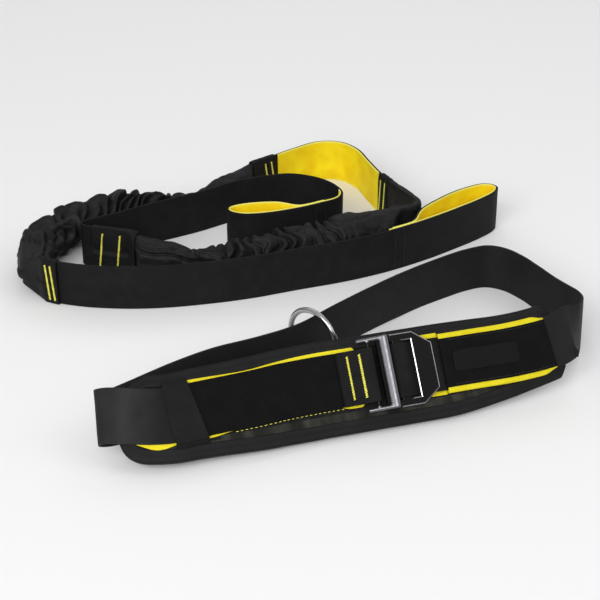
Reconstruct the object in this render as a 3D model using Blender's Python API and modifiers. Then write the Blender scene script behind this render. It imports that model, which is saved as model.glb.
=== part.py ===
"""Resistance sprint trainer: a padded waist belt with a hooked buckle and a ring,
and a tether of two sleeved bungees with loop handles, laid out on a flat floor."""

import math

import bmesh
import bpy
from mathutils import Matrix, Vector

mm = 0.001
UP = Vector((0, 0, 1))

# Webbing and thread
webbing_width = 50 * mm
webbing_thickness = 2.2 * mm
lining_inset = 1 * mm
lining_width = webbing_width - 2 * lining_inset
lining_thickness = 1.2 * mm
thread_diameter = 1.1 * mm
seat_gap = 0.3 * mm
bend_step = math.radians(9)
twist_step = math.radians(0.9)
loose_twist_step = math.radians(6)
layer_gap = 0.4 * mm
longest_step = 20 * mm

# Lay of the set on the floor
tether_span = 500 * mm
belt_span = 500 * mm

# Bungees and their gathered sleeves
bungee_diameter = 14 * mm
crimp_wall = 1.6 * mm
crimp_length = 12 * mm
sleeve_radius = 22.5 * mm
gather_depth = 4.2 * mm
gather_pitch = 9.5 * mm
sleeve_neck_radius = 16 * mm
sleeve_neck_length = 12 * mm

# End covers, where a bungee is sewn to a strap
cover_overhang = 0.5 * mm
cover_tall = webbing_width + 2 * cover_overhang
cover_flat_thickness = 9 * mm
cover_round_radius = 20.5 * mm
cover_pocket_depth = 22 * mm

# Waist pad, from the wearer's side outwards
pad_length = 424 * mm
pad_below = 48 * mm
pad_below_left = 40 * mm
pad_above = 37.5 * mm
pad_lean = math.radians(45)
mesh_thickness = 1.4 * mm
foam_thickness = 6 * mm
cover_thickness = 1.2 * mm
binding_width = 6.2 * mm
binding_thickness = 1.1 * mm
pad_corner = 26 * mm
stripe_width = 3 * mm
yellow_band_width = webbing_width + 2 * stripe_width
yellow_band_thickness = 1.2 * mm
panel_inset = 2.5 * mm
tunnel_panel_width = webbing_width - 2 * panel_inset
panel_thickness = 1.2 * mm
badge_length = 64 * mm
badge_height = 20 * mm
badge_thickness = 0.9 * mm
keeper_width = 28 * mm
keeper_seam = 2.5 * mm
keeper_height = yellow_band_width + 2 * keeper_seam
keeper_thickness = 1.6 * mm

# Steel buckle and ring
frame_rail = 3.9 * mm
frame_side_gap = 5.1 * mm
frame_height = webbing_width + 2 * (frame_rail + frame_side_gap)
frame_bar = 7.5 * mm
plate_height = frame_height
plate_thickness = 2.6 * mm
plate_chamfer = 17 * mm
slot_width = 8 * mm
slot_side_gap = 1.5 * mm
slot_height = webbing_width + 2 * slot_side_gap
plate_bridge = 10 * mm
hook_lip = 3 * mm
lip_thickness = 2 * mm
buckle_clearance = 0.6 * mm
ring_outer = 64 * mm
ring_wire = 5.6 * mm

# The tether's centre line on the floor, from handle 1 to handle 2, as shares of tether_span
strap_1_tip_shares = [(0.272, 0.236), (0.338, 0.308), (0.398, 0.350), (0.430, 0.356), (0.446, 0.342)]
strap_1_shares = [
    (0.442, 0.322), (0.424, 0.298), (0.370, 0.250), (0.284, 0.184), (0.200, 0.130),
    (0.110, 0.086), (0.000, 0.046), (-0.104, 0.008), (-0.206, -0.018), (-0.310, -0.034),
    (-0.418, -0.032), (-0.500, -0.014)]
cover_1_shares = [(-0.536, 0.006), (-0.556, 0.040), (-0.566, 0.092)]
sleeve_1_shares = [
    (-0.562, 0.150), (-0.534, 0.212), (-0.480, 0.270), (-0.414, 0.314), (-0.342, 0.336),
    (-0.286, 0.354), (-0.230, 0.378), (-0.180, 0.414)]
cover_2_shares = [(-0.134, 0.454), (-0.096, 0.484), (-0.060, 0.514)]
centre_strap_shares = [
    (-0.020, 0.548), (0.040, 0.590), (0.098, 0.588), (0.138, 0.546), (0.162, 0.480), (0.188, 0.412)]
cover_3_shares = [(0.214, 0.362), (0.246, 0.308), (0.262, 0.272), (0.250, 0.248), (0.204, 0.240)]
sleeve_2_shares = [
    (0.140, 0.218), (0.080, 0.184), (0.020, 0.150), (-0.040, 0.124), (-0.100, 0.106),
    (-0.160, 0.096), (-0.220, 0.092), (-0.280, 0.100)]
cover_4_shares = [(-0.340, 0.116), (-0.400, 0.132), (-0.450, 0.146)]
strap_2_shares = [
    (-0.470, 0.156), (-0.468, 0.174), (-0.400, 0.212), (-0.334, 0.255), (-0.226, 0.316),
    (-0.138, 0.376), (-0.040, 0.410), (0.024, 0.398), (0.070, 0.364), (0.094, 0.318),
    (0.084, 0.284), (0.050, 0.262), (0.000, 0.236), (-0.060, 0.214), (-0.112, 0.204)]
strap_2_tip_shares = [(-0.146, 0.212), (-0.160, 0.230), (-0.146, 0.248), (-0.104, 0.262), (-0.050, 0.266)]
handle_1_joint_shares = (0.214, 0.138)
handle_2_joint_shares = (0.046, 0.259)

# The padded front of the belt, as shares of belt_span, and its lean as a share of pad_lean
pad_shares = [
    (-0.316, -0.560, 1.0), (-0.272, -0.564, 1.0), (-0.226, -0.560, 1.0), (-0.180, -0.542, 1.0),
    (-0.080, -0.505, 0.98), (-0.030, -0.486, 0.94), (0.030, -0.467, 0.90), (0.090, -0.449, 0.90),
    (0.170, -0.425, 0.90), (0.250, -0.401, 0.90), (0.320, -0.380, 0.90), (0.390, -0.361, 0.86),
    (0.450, -0.339, 0.78), (0.490, -0.317, 0.70), (0.514, -0.293, 0.64)]

# The strap behind it: x, y, rise from the floor to the pad's height, lean in x and in y
back_shares = [
    (-0.340, -0.560, 1.0, -0.10, 0.70), (-0.357, -0.554, 0.80, -0.12, 0.70),
    (-0.356, -0.540, 0.45, -0.12, 0.68), (-0.334, -0.527, 0.32, -0.10, 0.62),
    (-0.298, -0.500, 0.36, -0.05, 0.50), (-0.222, -0.434, 0.46, 0.0, 0.24),
    (-0.158, -0.386, 0.50, 0.0, 0.06), (-0.076, -0.338, 0.42, 0.0, 0.0), (-0.002, -0.287, 0.34, 0.0, 0.0),
    (0.058, -0.224, 0.32, 0.0, 0.0), (0.140, -0.134, 0.17, 0.0, 0.0), (0.228, -0.046, 0.0, 0.0, 0.0),
    (0.300, 0.008, 0.0, 0.0, 0.0), (0.350, 0.040, 0.0, 0.0, 0.0), (0.394, 0.056, 0.0, 0.0, 0.0),
    (0.432, 0.042, 0.0, 0.0, 0.0), (0.462, 0.010, 0.0, 0.0, 0.0), (0.486, -0.028, 0.0, 0.0, 0.0),
    (0.510, -0.072, 0.0, 0.0, 0.0), (0.530, -0.112, 0.06, 0.04, 0.0), (0.547, -0.160, 0.26, 0.08, 0.02),
    (0.551, -0.208, 0.54, 0.0, 0.06), (0.537, -0.256, 0.80, -0.10, 0.14)]

# Fits and small places
bar_gap = 14 * mm
wrapped_bar = 3.6 * mm
frame_toe = 8.5 * mm
frame_toe_level = 3.6 * mm
plate_hook_land = 7.5 * mm
plate_mark_land = 19.5 * mm
chamfer_share = 0.75
shoulder_gap = 3.4 * mm
adjuster_reach = 14 * mm
pad_taper = 120 * mm
pad_left_taper = 150 * mm
pad_tip_half = 35 * mm
tip_corner = 8 * mm
tunnel_end = 412 * mm
arc_steps = 5
taper_steps = 8
wrap_steps = 5
trial_steps = 8
seat_row_inset = 1.8 * mm
narrow_rows = [5 * mm, 14 * mm]
wide_rows = [11 * mm, 31 * mm]
tongue_rows = [9.5 * mm, 21.5 * mm]
handle_rows = [-6 * mm, 6 * mm]
tongue_lower_shares = [(-1.0, 0.0), (-0.72, 0.0), (-0.48, 0.06), (-0.22, 0.52)]
tongue_upper_shares = [(-0.22, 0.76), (-0.42, 0.36), (-0.62, 0.06), (-0.8, 0.0), (-0.98, 0.0)]
sleeve_rib_shares = (0.12, 0.55)
rib_turn = 1.7
rib_swell_share = 0.15
thread_dip_share = 0.64
cover_round_share = 0.6
wrap_sweep_share = 0.45
overrun = 3 * mm
fine_step = 4 * mm
mouth_edge = 0.05 * mm
station_shift = 0.9 * mm
cover_web = 2 * mm
cover_taper = 22 * mm
neck_wall = 1.5 * mm
thread_points = 8
thread_reach = 20 * mm
joint_overlap = 13 * mm
leg_opening = 2.5 * mm

# Places along the padded front, measured from its left end
keeper_station = 56 * mm
band_left_start = 19 * mm
buckle_station = 234 * mm
tunnel_gap = 13 * mm
tunnel_lead = 4 * mm
tongue_length = 31 * mm
badge_station = 345 * mm
ring_place_shares = (0.026, -0.260)

# Places worked out from the sizes above
plate_start = bar_gap - frame_bar / 2 - buckle_clearance - lip_thickness
bridge_start = plate_start + plate_hook_land + slot_width
bridge_end = bridge_start + plate_bridge
plate_end = bridge_end + slot_width + plate_mark_land
pad_stack = (webbing_thickness / 2 + yellow_band_thickness + cover_thickness + foam_thickness
             + mesh_thickness + binding_thickness + 2 * seat_gap + 3 * layer_gap)
pad_middle = (pad_below + binding_thickness) * math.cos(pad_lean) + pad_stack * math.sin(pad_lean)
tunnel_start = buckle_station + plate_end + tunnel_gap


def clear_scene():
    for item in list(bpy.data.objects):
        bpy.data.objects.remove(item, do_unlink=True)


def make_collections():
    parts = bpy.data.collections.new("resistance_sprint_trainer")
    cutters = bpy.data.collections.new("cutters")
    for group in (parts, cutters):
        bpy.context.scene.collection.children.link(group)
    return parts, cutters


def make_material(name, colour, roughness, metallic=0.0):
    material = bpy.data.materials.new(name)
    material.use_nodes = True
    shader = material.node_tree.nodes["Principled BSDF"]
    shader.inputs["Base Color"].default_value = (*colour, 1)
    shader.inputs["Roughness"].default_value = roughness
    shader.inputs["Metallic"].default_value = metallic
    return material


def make_materials():
    return {
        "webbing": make_material("black_webbing", (0.020, 0.020, 0.022), 0.75),
        "lining": make_material("yellow_lining", (0.78, 0.60, 0.010), 0.7),
        "sleeve": make_material("black_sleeve", (0.024, 0.024, 0.026), 0.8),
        "thread": make_material("yellow_thread", (0.72, 0.70, 0.14), 0.6),
        "bungee": make_material("latex_cord", (0.30, 0.26, 0.18), 0.6),
        "foam": make_material("eva_foam", (0.05, 0.05, 0.05), 0.9),
        "mesh": make_material("spacer_mesh", (0.045, 0.045, 0.048), 0.9),
        "cloth": make_material("pad_cloth", (0.030, 0.030, 0.032), 0.85),
        "steel": make_material("polished_steel", (0.62, 0.62, 0.63), 0.22, 1.0),
        "plate": make_material("black_plate", (0.03, 0.03, 0.032), 0.35, 0.6),
    }


def add_object(name, mesh, material, group):
    mesh.materials.clear()
    mesh.materials.append(material)
    thing = bpy.data.objects.new(name, mesh)
    group.objects.link(thing)
    return thing


def smooth_rows(rows, places, before=None, after=None, twisting=twist_step):
    """Catmull-Rom curve through rows of numbers, the first of which are a place"""
    first = before or [2 * a - b for a, b in zip(rows[0], rows[1])]
    last = after or [2 * a - b for a, b in zip(rows[-1], rows[-2])]
    rows = [first, *rows, last]
    fine = []
    for i in range(1, len(rows) - 2):
        near = rows[i - 1:i + 3]
        trial = [curve_row(k / trial_steps, near) for k in range(trial_steps + 1)]
        steps = steps_needed(trial, places, twisting)
        fine += [curve_row(k / steps, near) for k in range(steps)]
    fine.append(list(rows[-2]))
    return fine


def steps_needed(trial, places, twisting):
    """How many straight steps stand in for a stretch of curve that bends, twists or is long"""
    spots = [Vector(row[:places]).to_3d() for row in trial]
    steps = [b - a for a, b in zip(spots, spots[1:])]
    bend = sum(a.angle(b) for a, b in zip(steps, steps[1:]))
    turns = [sum(abs(b - a) for a, b in zip(values, values[1:])) for values in list(zip(*trial))[places:]]
    twist = max(turns, default=0)
    length = sum(step.length for step in steps)
    return max(1, math.ceil(bend / bend_step), math.ceil(twist / twisting), math.ceil(length / longest_step))


def curve_row(u, near):
    return [curve_value(u, *values) for values in zip(*near)]


def curve_value(u, a, b, c, d):
    bend = -a + 3 * b - 3 * c + d
    return b + u * (c - a + u * (2 * a - 5 * b + 4 * c - d + u * bend)) / 2


class Line:
    """A line of stations with a width direction (wide) and a face direction (out) at each"""

    def __init__(self, spots, wides):
        self.spots = spots
        self.runs = [0.0]
        for a, b in zip(spots, spots[1:]):
            self.runs.append(self.runs[-1] + (b - a).length)
        self.length = self.runs[-1]
        self.wides = []
        self.outs = []
        for i, wide in enumerate(wides):
            along = self.along(i)
            wide = (wide - along * wide.dot(along)).normalized()
            self.wides.append(wide)
            self.outs.append(along.cross(wide))

    def along(self, i):
        last = len(self.spots) - 1
        before = (self.spots[max(i, 1)] - self.spots[max(i, 1) - 1]).normalized()
        after = (self.spots[min(i + 1, last)] - self.spots[min(i + 1, last) - 1]).normalized()
        return (before + after).normalized()

    def split(self, run):
        """The station after a run, and the run's share of the step to it"""
        last = len(self.spots) - 1
        i = next((k for k in range(1, last) if self.runs[k] >= run), last)
        return i, (run - self.runs[i - 1]) / (self.runs[i] - self.runs[i - 1])

    def corner(self, i, across, out):
        return self.spots[i] + self.wides[i] * across + self.outs[i] * out

    def place(self, run, across=0.0, out=0.0):
        i, share = self.split(run)
        return self.corner(i - 1, across, out).lerp(self.corner(i, across, out), share)

    def frame(self, run):
        i, share = self.split(run)
        along = (self.spots[i] - self.spots[i - 1]).normalized()
        wide = self.wides[i - 1].lerp(self.wides[i], min(max(share, 0), 1))
        wide = (wide - along * wide.dot(along)).normalized()
        return self.place(run), along, wide, along.cross(wide)

    def nearest(self, spot):
        """The run of the place that lies nearest to a spot"""
        best = None
        for i, (a, b) in enumerate(zip(self.spots, self.spots[1:])):
            share = min(max((spot - a).dot(b - a) / (b - a).length_squared, 0), 1)
            found = ((a.lerp(b, share) - spot).length, self.runs[i] + (b - a).length * share)
            best = found if best is None else min(best, found)
        return best[1]

    def stops(self, start, end):
        """Runs for the cross-sections: both ends and every station between them"""
        return [start, *(r for r in self.runs if start + seat_gap < r < end - seat_gap), end]

    def fine_stops(self, start, end):
        """Even stops no longer than the fine step, and the stations"""
        runs = []
        stations = self.stops(min(start, end), max(start, end))
        for a, b in zip(stations, stations[1:]):
            runs += even_stops(a, b, fine_step)[:-1]
        runs.append(stations[-1])
        return runs if start < end else runs[::-1]


def floor_line(shares, span, height):
    rows = smooth_rows([(x * span, y * span) for x, y in shares], 2)
    return Line([Vector((x, y, height)) for x, y in rows], [UP.copy() for row in rows])


def extruded_profile(outlines, length):
    """Flat outlines with holes, filled and given a length along Z from zero"""
    data = bpy.data.curves.new("outline", "CURVE")
    data.dimensions = "2D"
    data.fill_mode = "BOTH"
    data.extrude = length / 2
    for outline in outlines:
        spline = data.splines.new("POLY")
        spline.points.add(len(outline) - 1)
        spline.use_cyclic_u = True
        for point, (x, y) in zip(spline.points, outline):
            point.co = (x, y, 0, 1)
    mesh = solid_mesh(data)
    mesh.transform(Matrix.Translation((0, 0, length / 2)))
    return mesh


def solid_mesh(data):
    """The closed mesh of a curve, whose caps are loose until they are welded"""
    guide = bpy.data.objects.new("guide", data)
    bpy.context.scene.collection.objects.link(guide)
    graph = bpy.context.evaluated_depsgraph_get()
    mesh = bpy.data.meshes.new_from_object(guide.evaluated_get(graph))
    bpy.data.objects.remove(guide, do_unlink=True)
    shape = bmesh.new()
    shape.from_mesh(mesh)
    bmesh.ops.remove_doubles(shape, verts=shape.verts, dist=seat_gap / 100)
    bmesh.ops.dissolve_limit(shape, angle_limit=math.radians(1), verts=shape.verts, edges=shape.edges)
    bmesh.ops.recalc_face_normals(shape, faces=shape.faces)
    shape.to_mesh(mesh)
    shape.free()
    return mesh


def wrap(mesh, line, start, length):
    """Lay a flat pattern (x along, y across, z outwards) on a line"""
    shape = bmesh.new()
    shape.from_mesh(mesh)
    planes = [((run - start, 0, 0), (1, 0, 0)) for run in line.stops(start, start + length)[1:-1]]
    planes += [((0, across, 0), (0, 1, 0)) for across in (-webbing_width / 2, 0, webbing_width / 2)]
    for spot, way in planes:
        every = [*shape.verts, *shape.edges, *shape.faces]
        bmesh.ops.bisect_plane(shape, geom=every, dist=seat_gap / 100, plane_co=spot, plane_no=way)
    for vert in shape.verts:
        vert.co = line.place(start + vert.co.x, vert.co.y, vert.co.z)
    shape.to_mesh(mesh)
    shape.free()
    return mesh


def sewn_profile(outlines, line, start, length):
    """A profile (across, out) run along a line"""
    mesh = extruded_profile(outlines, length)
    mesh.transform(Matrix(((0, 0, 1, 0), (1, 0, 0, 0), (0, 1, 0, 0), (0, 0, 0, 1))))
    return wrap(mesh, line, start, length)


def box_outline(low, high):
    return [(low[0], low[1]), (high[0], low[1]), (high[0], high[1]), (low[0], high[1])]


def ribbon(name, line, start, end, width, thickness, material, group, out=0.0, strips=1):
    """Webbing: an open strip along a line, given its thickness by Solidify"""
    shape = bmesh.new()
    runs = line.stops(start, end)
    verts = [shape.verts.new(line.place(run, -width / 2, out)) for run in runs]
    edges = [shape.edges.new(pair) for pair in zip(verts, verts[1:])]
    for k in range(strips):
        raised = bmesh.ops.extrude_edge_only(shape, edges=edges)["geom"]
        verts = [item for item in raised if isinstance(item, bmesh.types.BMVert)]
        edges = [shape.edges.get(pair) for pair in zip(verts, verts[1:])]
        for vert, run in zip(verts, runs):
            vert.co = line.place(run, width * ((k + 1) / strips - 1 / 2), out)
    mesh = bpy.data.meshes.new(name)
    shape.to_mesh(mesh)
    shape.free()
    thing = add_object(name, mesh, material, group)
    wall = thing.modifiers.new("webbing", "SOLIDIFY")
    wall.thickness = thickness
    wall.offset = 0
    wall.use_even_offset = True
    return thing


def round_tube(spots, radii, resolution=2):
    """A round bar through spots with a radius at each, as a closed mesh"""
    data = bpy.data.curves.new("bar", "CURVE")
    data.dimensions = "3D"
    data.twist_mode = "Z_UP"
    data.bevel_depth = 1
    data.bevel_resolution = resolution
    data.use_fill_caps = True
    spline = data.splines.new("POLY")
    spline.points.add(len(spots) - 1)
    for point, spot, radius in zip(spline.points, spots, radii):
        point.co = (*spot, 1)
        point.radius = radius
    return solid_mesh(data)


def tube_along(line, sections, resolution=2):
    """A round tube along a line through (run, radius) sections"""
    return round_tube([line.place(run) for run, radius in sections], [r for run, r in sections], resolution)


def cut(thing, name, mesh, cutters):
    """Subtract a mesh, kept as a wire cutter, from an object"""
    tool = bpy.data.objects.new(name, mesh)
    cutters.objects.link(tool)
    tool.hide_render = True
    tool.display_type = "WIRE"
    taken = thing.modifiers.new(name, "BOOLEAN")
    taken.operation = "DIFFERENCE"
    taken.object = tool
    return tool


def join(thing, name, mesh, cutters):
    """Make a mesh one body with an object"""
    tool = cut(thing, name, mesh, cutters)
    thing.modifiers[name].operation = "UNION"
    return tool


def even_stops(start, end, step):
    count = max(1, math.ceil(abs(end - start) / step))
    return [start + (end - start) * k / count for k in range(count + 1)]


def oval_ring(line, run, tall, thick, square, sides):
    ring = []
    for k in range(sides):
        turn = 2 * math.pi * (k + 0.5) / sides
        up, side = math.sin(turn), math.cos(turn)
        across = math.copysign(abs(up) ** square, up) * tall
        out = math.copysign(abs(side) ** square, side) * thick
        ring.append(line.place(run, across, out))
    return ring


def loft(line, sections, sides=12):
    """Skin between unlike sections: run, half height, half thickness and squareness"""
    shape = bmesh.new()
    rings = []
    for section in sections:
        rings.append([shape.verts.new(spot) for spot in oval_ring(line, *section, sides)])
    for a, b in zip(rings, rings[1:]):
        for k in range(sides):
            turn = (k + 1) % sides
            shape.faces.new((a[k], a[turn], b[turn], b[k]))
    shape.faces.new(rings[0])
    shape.faces.new(rings[-1])
    bmesh.ops.recalc_face_normals(shape, faces=shape.faces)
    mesh = bpy.data.meshes.new("loft")
    shape.to_mesh(mesh)
    shape.free()
    return mesh


class Sewn:
    """Where an end cover lies on the tether: its flat end on a strap, its round end on a sleeve"""

    def __init__(self, line, flat_shares, round_shares):
        flat = line.nearest(floor_spot(flat_shares))
        round_end = line.nearest(floor_spot(round_shares))
        self.way = math.copysign(1, round_end - flat)
        self.flat = flat + self.way * station_shift
        self.round = round_end - self.way * station_shift

    def from_flat(self, distance):
        return self.flat + self.way * distance

    def from_round(self, distance):
        return self.round - self.way * distance


def floor_spot(shares):
    return Vector((shares[0] * tether_span, shares[1] * tether_span, webbing_width / 2))


def cover_sections(line, sewn):
    """Flat over the strap, opening to a round mouth over the bungee"""
    cavity = sleeve_neck_length + crimp_length + 2 * seat_gap
    taper = abs(sewn.flat - sewn.round) - cavity - cover_pocket_depth - cover_web
    low, high = sorted((sewn.flat, sewn.round))
    runs = {low, high, *(run + station_shift for run in line.stops(low, high - 2 * station_shift)[1:-1])}
    runs.update(sewn.from_round(distance) for distance in (cavity, cavity + min(taper, cover_taper)))
    sections = []
    for run in sorted(runs):
        depth = abs(sewn.round - run) - cavity
        flat = min(max(depth / min(taper, cover_taper), 0), 1)
        ease = flat * flat * (3 - 2 * flat)
        tall = cover_round_radius + (cover_tall / 2 - cover_round_radius) * ease
        thick = cover_round_radius + (cover_flat_thickness / 2 - cover_round_radius) * ease
        sections.append((run, tall, thick, 1 - cover_round_share * ease))
    return sections


def make_cover(name, line, sewn, materials, parts, cutters):
    """A folded webbing cover with a slot for the strap and a stepped mouth for sleeve and crimp"""
    cover = add_object(name, loft(line, cover_sections(line, sewn)), materials["webbing"], parts)
    half = webbing_thickness / 2 + seat_gap
    low, high = sorted((sewn.from_flat(cover_pocket_depth), sewn.from_flat(-overrun)))
    slot = sewn_profile([box_outline((-cover_tall, -half), (cover_tall, half))], line, low, high - low)
    cut(cover, name + "_slot", slot, cutters)
    mouth = sleeve_neck_radius + seat_gap
    grip = bungee_diameter / 2 + seat_gap + crimp_wall + seat_gap
    neck = sleeve_neck_length + seat_gap
    sections = [(run, mouth) for run in line.fine_stops(sewn.from_round(-overrun), sewn.from_round(neck))]
    start, end = sewn.from_round(neck + mouth_edge), sewn.from_round(neck + crimp_length + seat_gap)
    sections += [(run, grip) for run in line.fine_stops(start, end)]
    cut(cover, name + "_mouth", tube_along(line, sections, 3), cutters)
    return cover


def make_crimp(name, line, sewn, materials, parts, cutters):
    """A clamp ring on the end of a bungee"""
    start = sleeve_neck_length + 2 * seat_gap
    inner = bungee_diameter / 2 + seat_gap
    end = start + crimp_length - seat_gap
    runs = line.fine_stops(sewn.from_round(start), sewn.from_round(end))
    ring = tube_along(line, [(run, inner + crimp_wall) for run in runs], 3)
    crimp = add_object(name, ring, materials["steel"], parts)
    runs = line.fine_stops(sewn.from_round(start - overrun), sewn.from_round(end + overrun))
    cut(crimp, name + "_bore", tube_along(line, [(run, inner) for run in runs]), cutters)
    return crimp


def bungee_sections(line, first, second, radius, depth):
    """Sections of a round piece that reaches a depth into the cover at each end"""
    runs = line.fine_stops(first.from_round(depth), first.round)[:-1]
    runs += line.stops(first.round, second.round)
    runs += line.fine_stops(second.round, second.from_round(depth))[1:]
    return [(run, radius) for run in runs]


def make_bungee(name, line, first, second, materials, parts):
    depth = sleeve_neck_length + crimp_length + seat_gap
    mesh = tube_along(line, bungee_sections(line, first, second, bungee_diameter / 2, depth))
    return add_object(name, mesh, materials["bungee"], parts)


def make_sleeve(name, line, first, second, materials, parts, cutters):
    """Cloth gathered on the bungee: rings of unlike radius between two plain necks"""
    depth = sleeve_neck_length
    sections = [(run, sleeve_neck_radius)
                for run in line.fine_stops(first.from_round(depth), first.from_round(-seat_gap))]
    start, end = first.from_round(-2 * seat_gap), second.from_round(-2 * seat_gap)
    ribs = round((end - start) / gather_pitch)
    pitch = (end - start) / ribs
    for k in range(ribs):
        swell = gather_depth * rib_swell_share * (1 + math.sin(rib_turn * k))
        valley, crest = (start + pitch * (k + share) for share in sleeve_rib_shares)
        sections.append((valley, sleeve_radius - gather_depth + swell / 2))
        sections.append((crest, sleeve_radius - swell))
    sections += [(run, sleeve_neck_radius)
                 for run in line.fine_stops(second.from_round(-seat_gap), second.from_round(depth))]
    sleeve = add_object(name, tube_along(line, sections, 3), materials["sleeve"], parts)
    bore = bungee_sections(line, first, second, sleeve_neck_radius - neck_wall, sleeve_neck_length + overrun)
    cut(sleeve, name + "_bore", tube_along(line, bore), cutters)
    return sleeve


def thread_mesh(spots):
    """Thread along spots, thinner at every second one, where it dips into the cloth"""
    thick = thread_diameter / 2
    radii = [thick if k % 2 else thick * thread_dip_share for k in range(len(spots))]
    return round_tube(spots, radii, 1)


def make_stitches(name, line, run, out, reach, materials, parts):
    """A row of thread across a strap"""
    spots = [line.place(run, reach * (2 * k / thread_points - 1), out) for k in range(thread_points + 1)]
    return add_object(name, thread_mesh(spots), materials["thread"], parts)


def cover_stitches(name, line, sewn, side, places, materials, parts):
    out = side * (cover_flat_thickness / 2 + seat_gap + thread_diameter / 2)
    rows = []
    for k, place in enumerate(places):
        row = f"{name}_stitches_{k + 1}"
        rows.append(make_stitches(row, line, sewn.from_flat(place), out, thread_reach, materials, parts))
    return rows


def handle_path(tether, run_shares, tip_shares, joint_shares, joint_first):
    """The strap's own line: along the tether, round the tip and back to the joint"""
    joint = tether.nearest(floor_spot(joint_shares))
    stack = webbing_thickness + 2 * lining_thickness + 3 * seat_gap
    way = 1 if joint_first else -1
    places = [(joint_overlap, stack), (0, stack), (-joint_overlap, stack),
              (-2 * joint_overlap, stack + leg_opening)]
    seats = [tether.place(joint + way * distance, out=out) for distance, out in places]
    seats = [(spot.x, spot.y) for spot in seats]
    run_rows = [(x * tether_span, y * tether_span) for x, y in run_shares]
    tip_rows = [(x * tether_span, y * tether_span) for x, y in tip_shares]
    rows = [*seats, *tip_rows, *run_rows] if joint_first else [*run_rows, *tip_rows, *reversed(seats)]
    spots = [Vector((x, y, webbing_width / 2)) for x, y in smooth_rows(rows, 2)]
    return Line(spots, [UP.copy() for spot in spots])


def make_handle(number, path, pocket, joint_run, joint_first, materials, parts):
    """A webbing strap looped back on itself, with a yellow lining inside the loop"""
    ends = sorted((path.nearest(pocket), 0 if joint_first else path.length))
    strap = ribbon(f"handle_strap_{number}", path, *ends, webbing_width, webbing_thickness,
                   materials["webbing"], parts)
    far = joint_overlap / 2
    span = (far, joint_run) if joint_first else (joint_run, path.length - far)
    lining = ribbon(f"handle_lining_{number}", path, *span, lining_width, lining_thickness,
                    materials["lining"], parts, webbing_thickness / 2 + seat_gap + lining_thickness / 2)
    return [strap, lining]


def make_tether(materials, parts, cutters):
    shares = [*strap_1_shares, *cover_1_shares, *sleeve_1_shares, *cover_2_shares, *centre_strap_shares,
              *cover_3_shares, *sleeve_2_shares, *cover_4_shares, *strap_2_shares]
    tether = floor_line(shares, tether_span, webbing_width / 2)
    covers = [Sewn(tether, strap_1_shares[-1], cover_1_shares[-1]),
              Sewn(tether, cover_2_shares[-1], sleeve_1_shares[-1]),
              Sewn(tether, centre_strap_shares[-1], sleeve_2_shares[0]),
              Sewn(tether, cover_4_shares[-1], sleeve_2_shares[-1])]
    names = ["end_cover_1", "centre_cover_1", "centre_cover_2", "end_cover_2"]
    sides = [-1, 1, 1, -1]
    places = [narrow_rows, narrow_rows, narrow_rows, wide_rows]
    sets = {"handle_1": [], "centre": [], "handle_2": []}
    owners = ["handle_1", "centre", "centre", "handle_2"]
    for name, sewn, side, rows, owner in zip(names, covers, sides, places, owners):
        sets[owner].append(make_cover(name, tether, sewn, materials, parts, cutters))
        sets[owner] += cover_stitches(name, tether, sewn, side, rows, materials, parts)
        sets[owner].append(make_crimp(f"crimp_{name}", tether, sewn, materials, parts, cutters))
    for number, first, second in ((1, covers[0], covers[1]), (2, covers[2], covers[3])):
        sets["centre"].append(make_bungee(f"bungee_{number}", tether, first, second, materials, parts))
        sleeve = make_sleeve(f"sleeve_{number}", tether, first, second, materials, parts, cutters)
        sets["centre"].append(sleeve)
    sets["centre"] += make_centre_strap(tether, covers[1], covers[2], materials, parts)
    path_1 = handle_path(tether, [*strap_1_shares, *cover_1_shares], strap_1_tip_shares,
                         handle_1_joint_shares, True)
    path_2 = handle_path(tether, [*reversed(cover_4_shares[-1:]), *strap_2_shares], strap_2_tip_shares,
                         handle_2_joint_shares, False)
    return tether, covers, path_1, path_2, sets


def make_centre_strap(tether, first, second, materials, parts):
    """Black webbing between the two bungees, lined with yellow on the face the ring runs on"""
    reach = cover_pocket_depth - fine_step
    strap = ribbon("centre_strap", tether, first.from_flat(reach), second.from_flat(reach), webbing_width,
                   webbing_thickness, materials["webbing"], parts)
    lining = ribbon("centre_lining", tether, first.from_flat(-fine_step), second.from_flat(-fine_step),
                    lining_width, lining_thickness, materials["lining"], parts,
                    webbing_thickness / 2 + seat_gap + lining_thickness / 2)
    return [strap, lining]


def pad_line():
    """The middle of the padded front, where the webbing lies, leaning back from the viewer"""
    table = [(x * belt_span, y * belt_span, lean * pad_lean) for x, y, lean in pad_shares]
    rows = smooth_rows(table, 2)
    flat = Line([Vector((x, y, 0)) for x, y, lean in rows], [UP.copy() for row in rows])
    spots = []
    wides = []
    for spot, left, (x, y, lean) in zip(flat.spots, flat.outs, rows):
        reach = (pad_below + binding_thickness + seat_gap) * math.cos(lean)
        spots.append(spot + UP * (reach + pad_stack * math.sin(lean)))
        wides.append(UP * math.cos(lean) - left * math.sin(lean))
    return Line(spots, wides)


def pad_outline(grow):
    """Rounded and a little narrower at the left end, narrowing to the webbing at the right end"""
    lower = half_outline(pad_below_left + grow, pad_below + grow, grow)
    upper = half_outline(pad_above + grow, pad_above + grow, grow)
    return lower + [(x, -y) for x, y in reversed(upper)]


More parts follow.
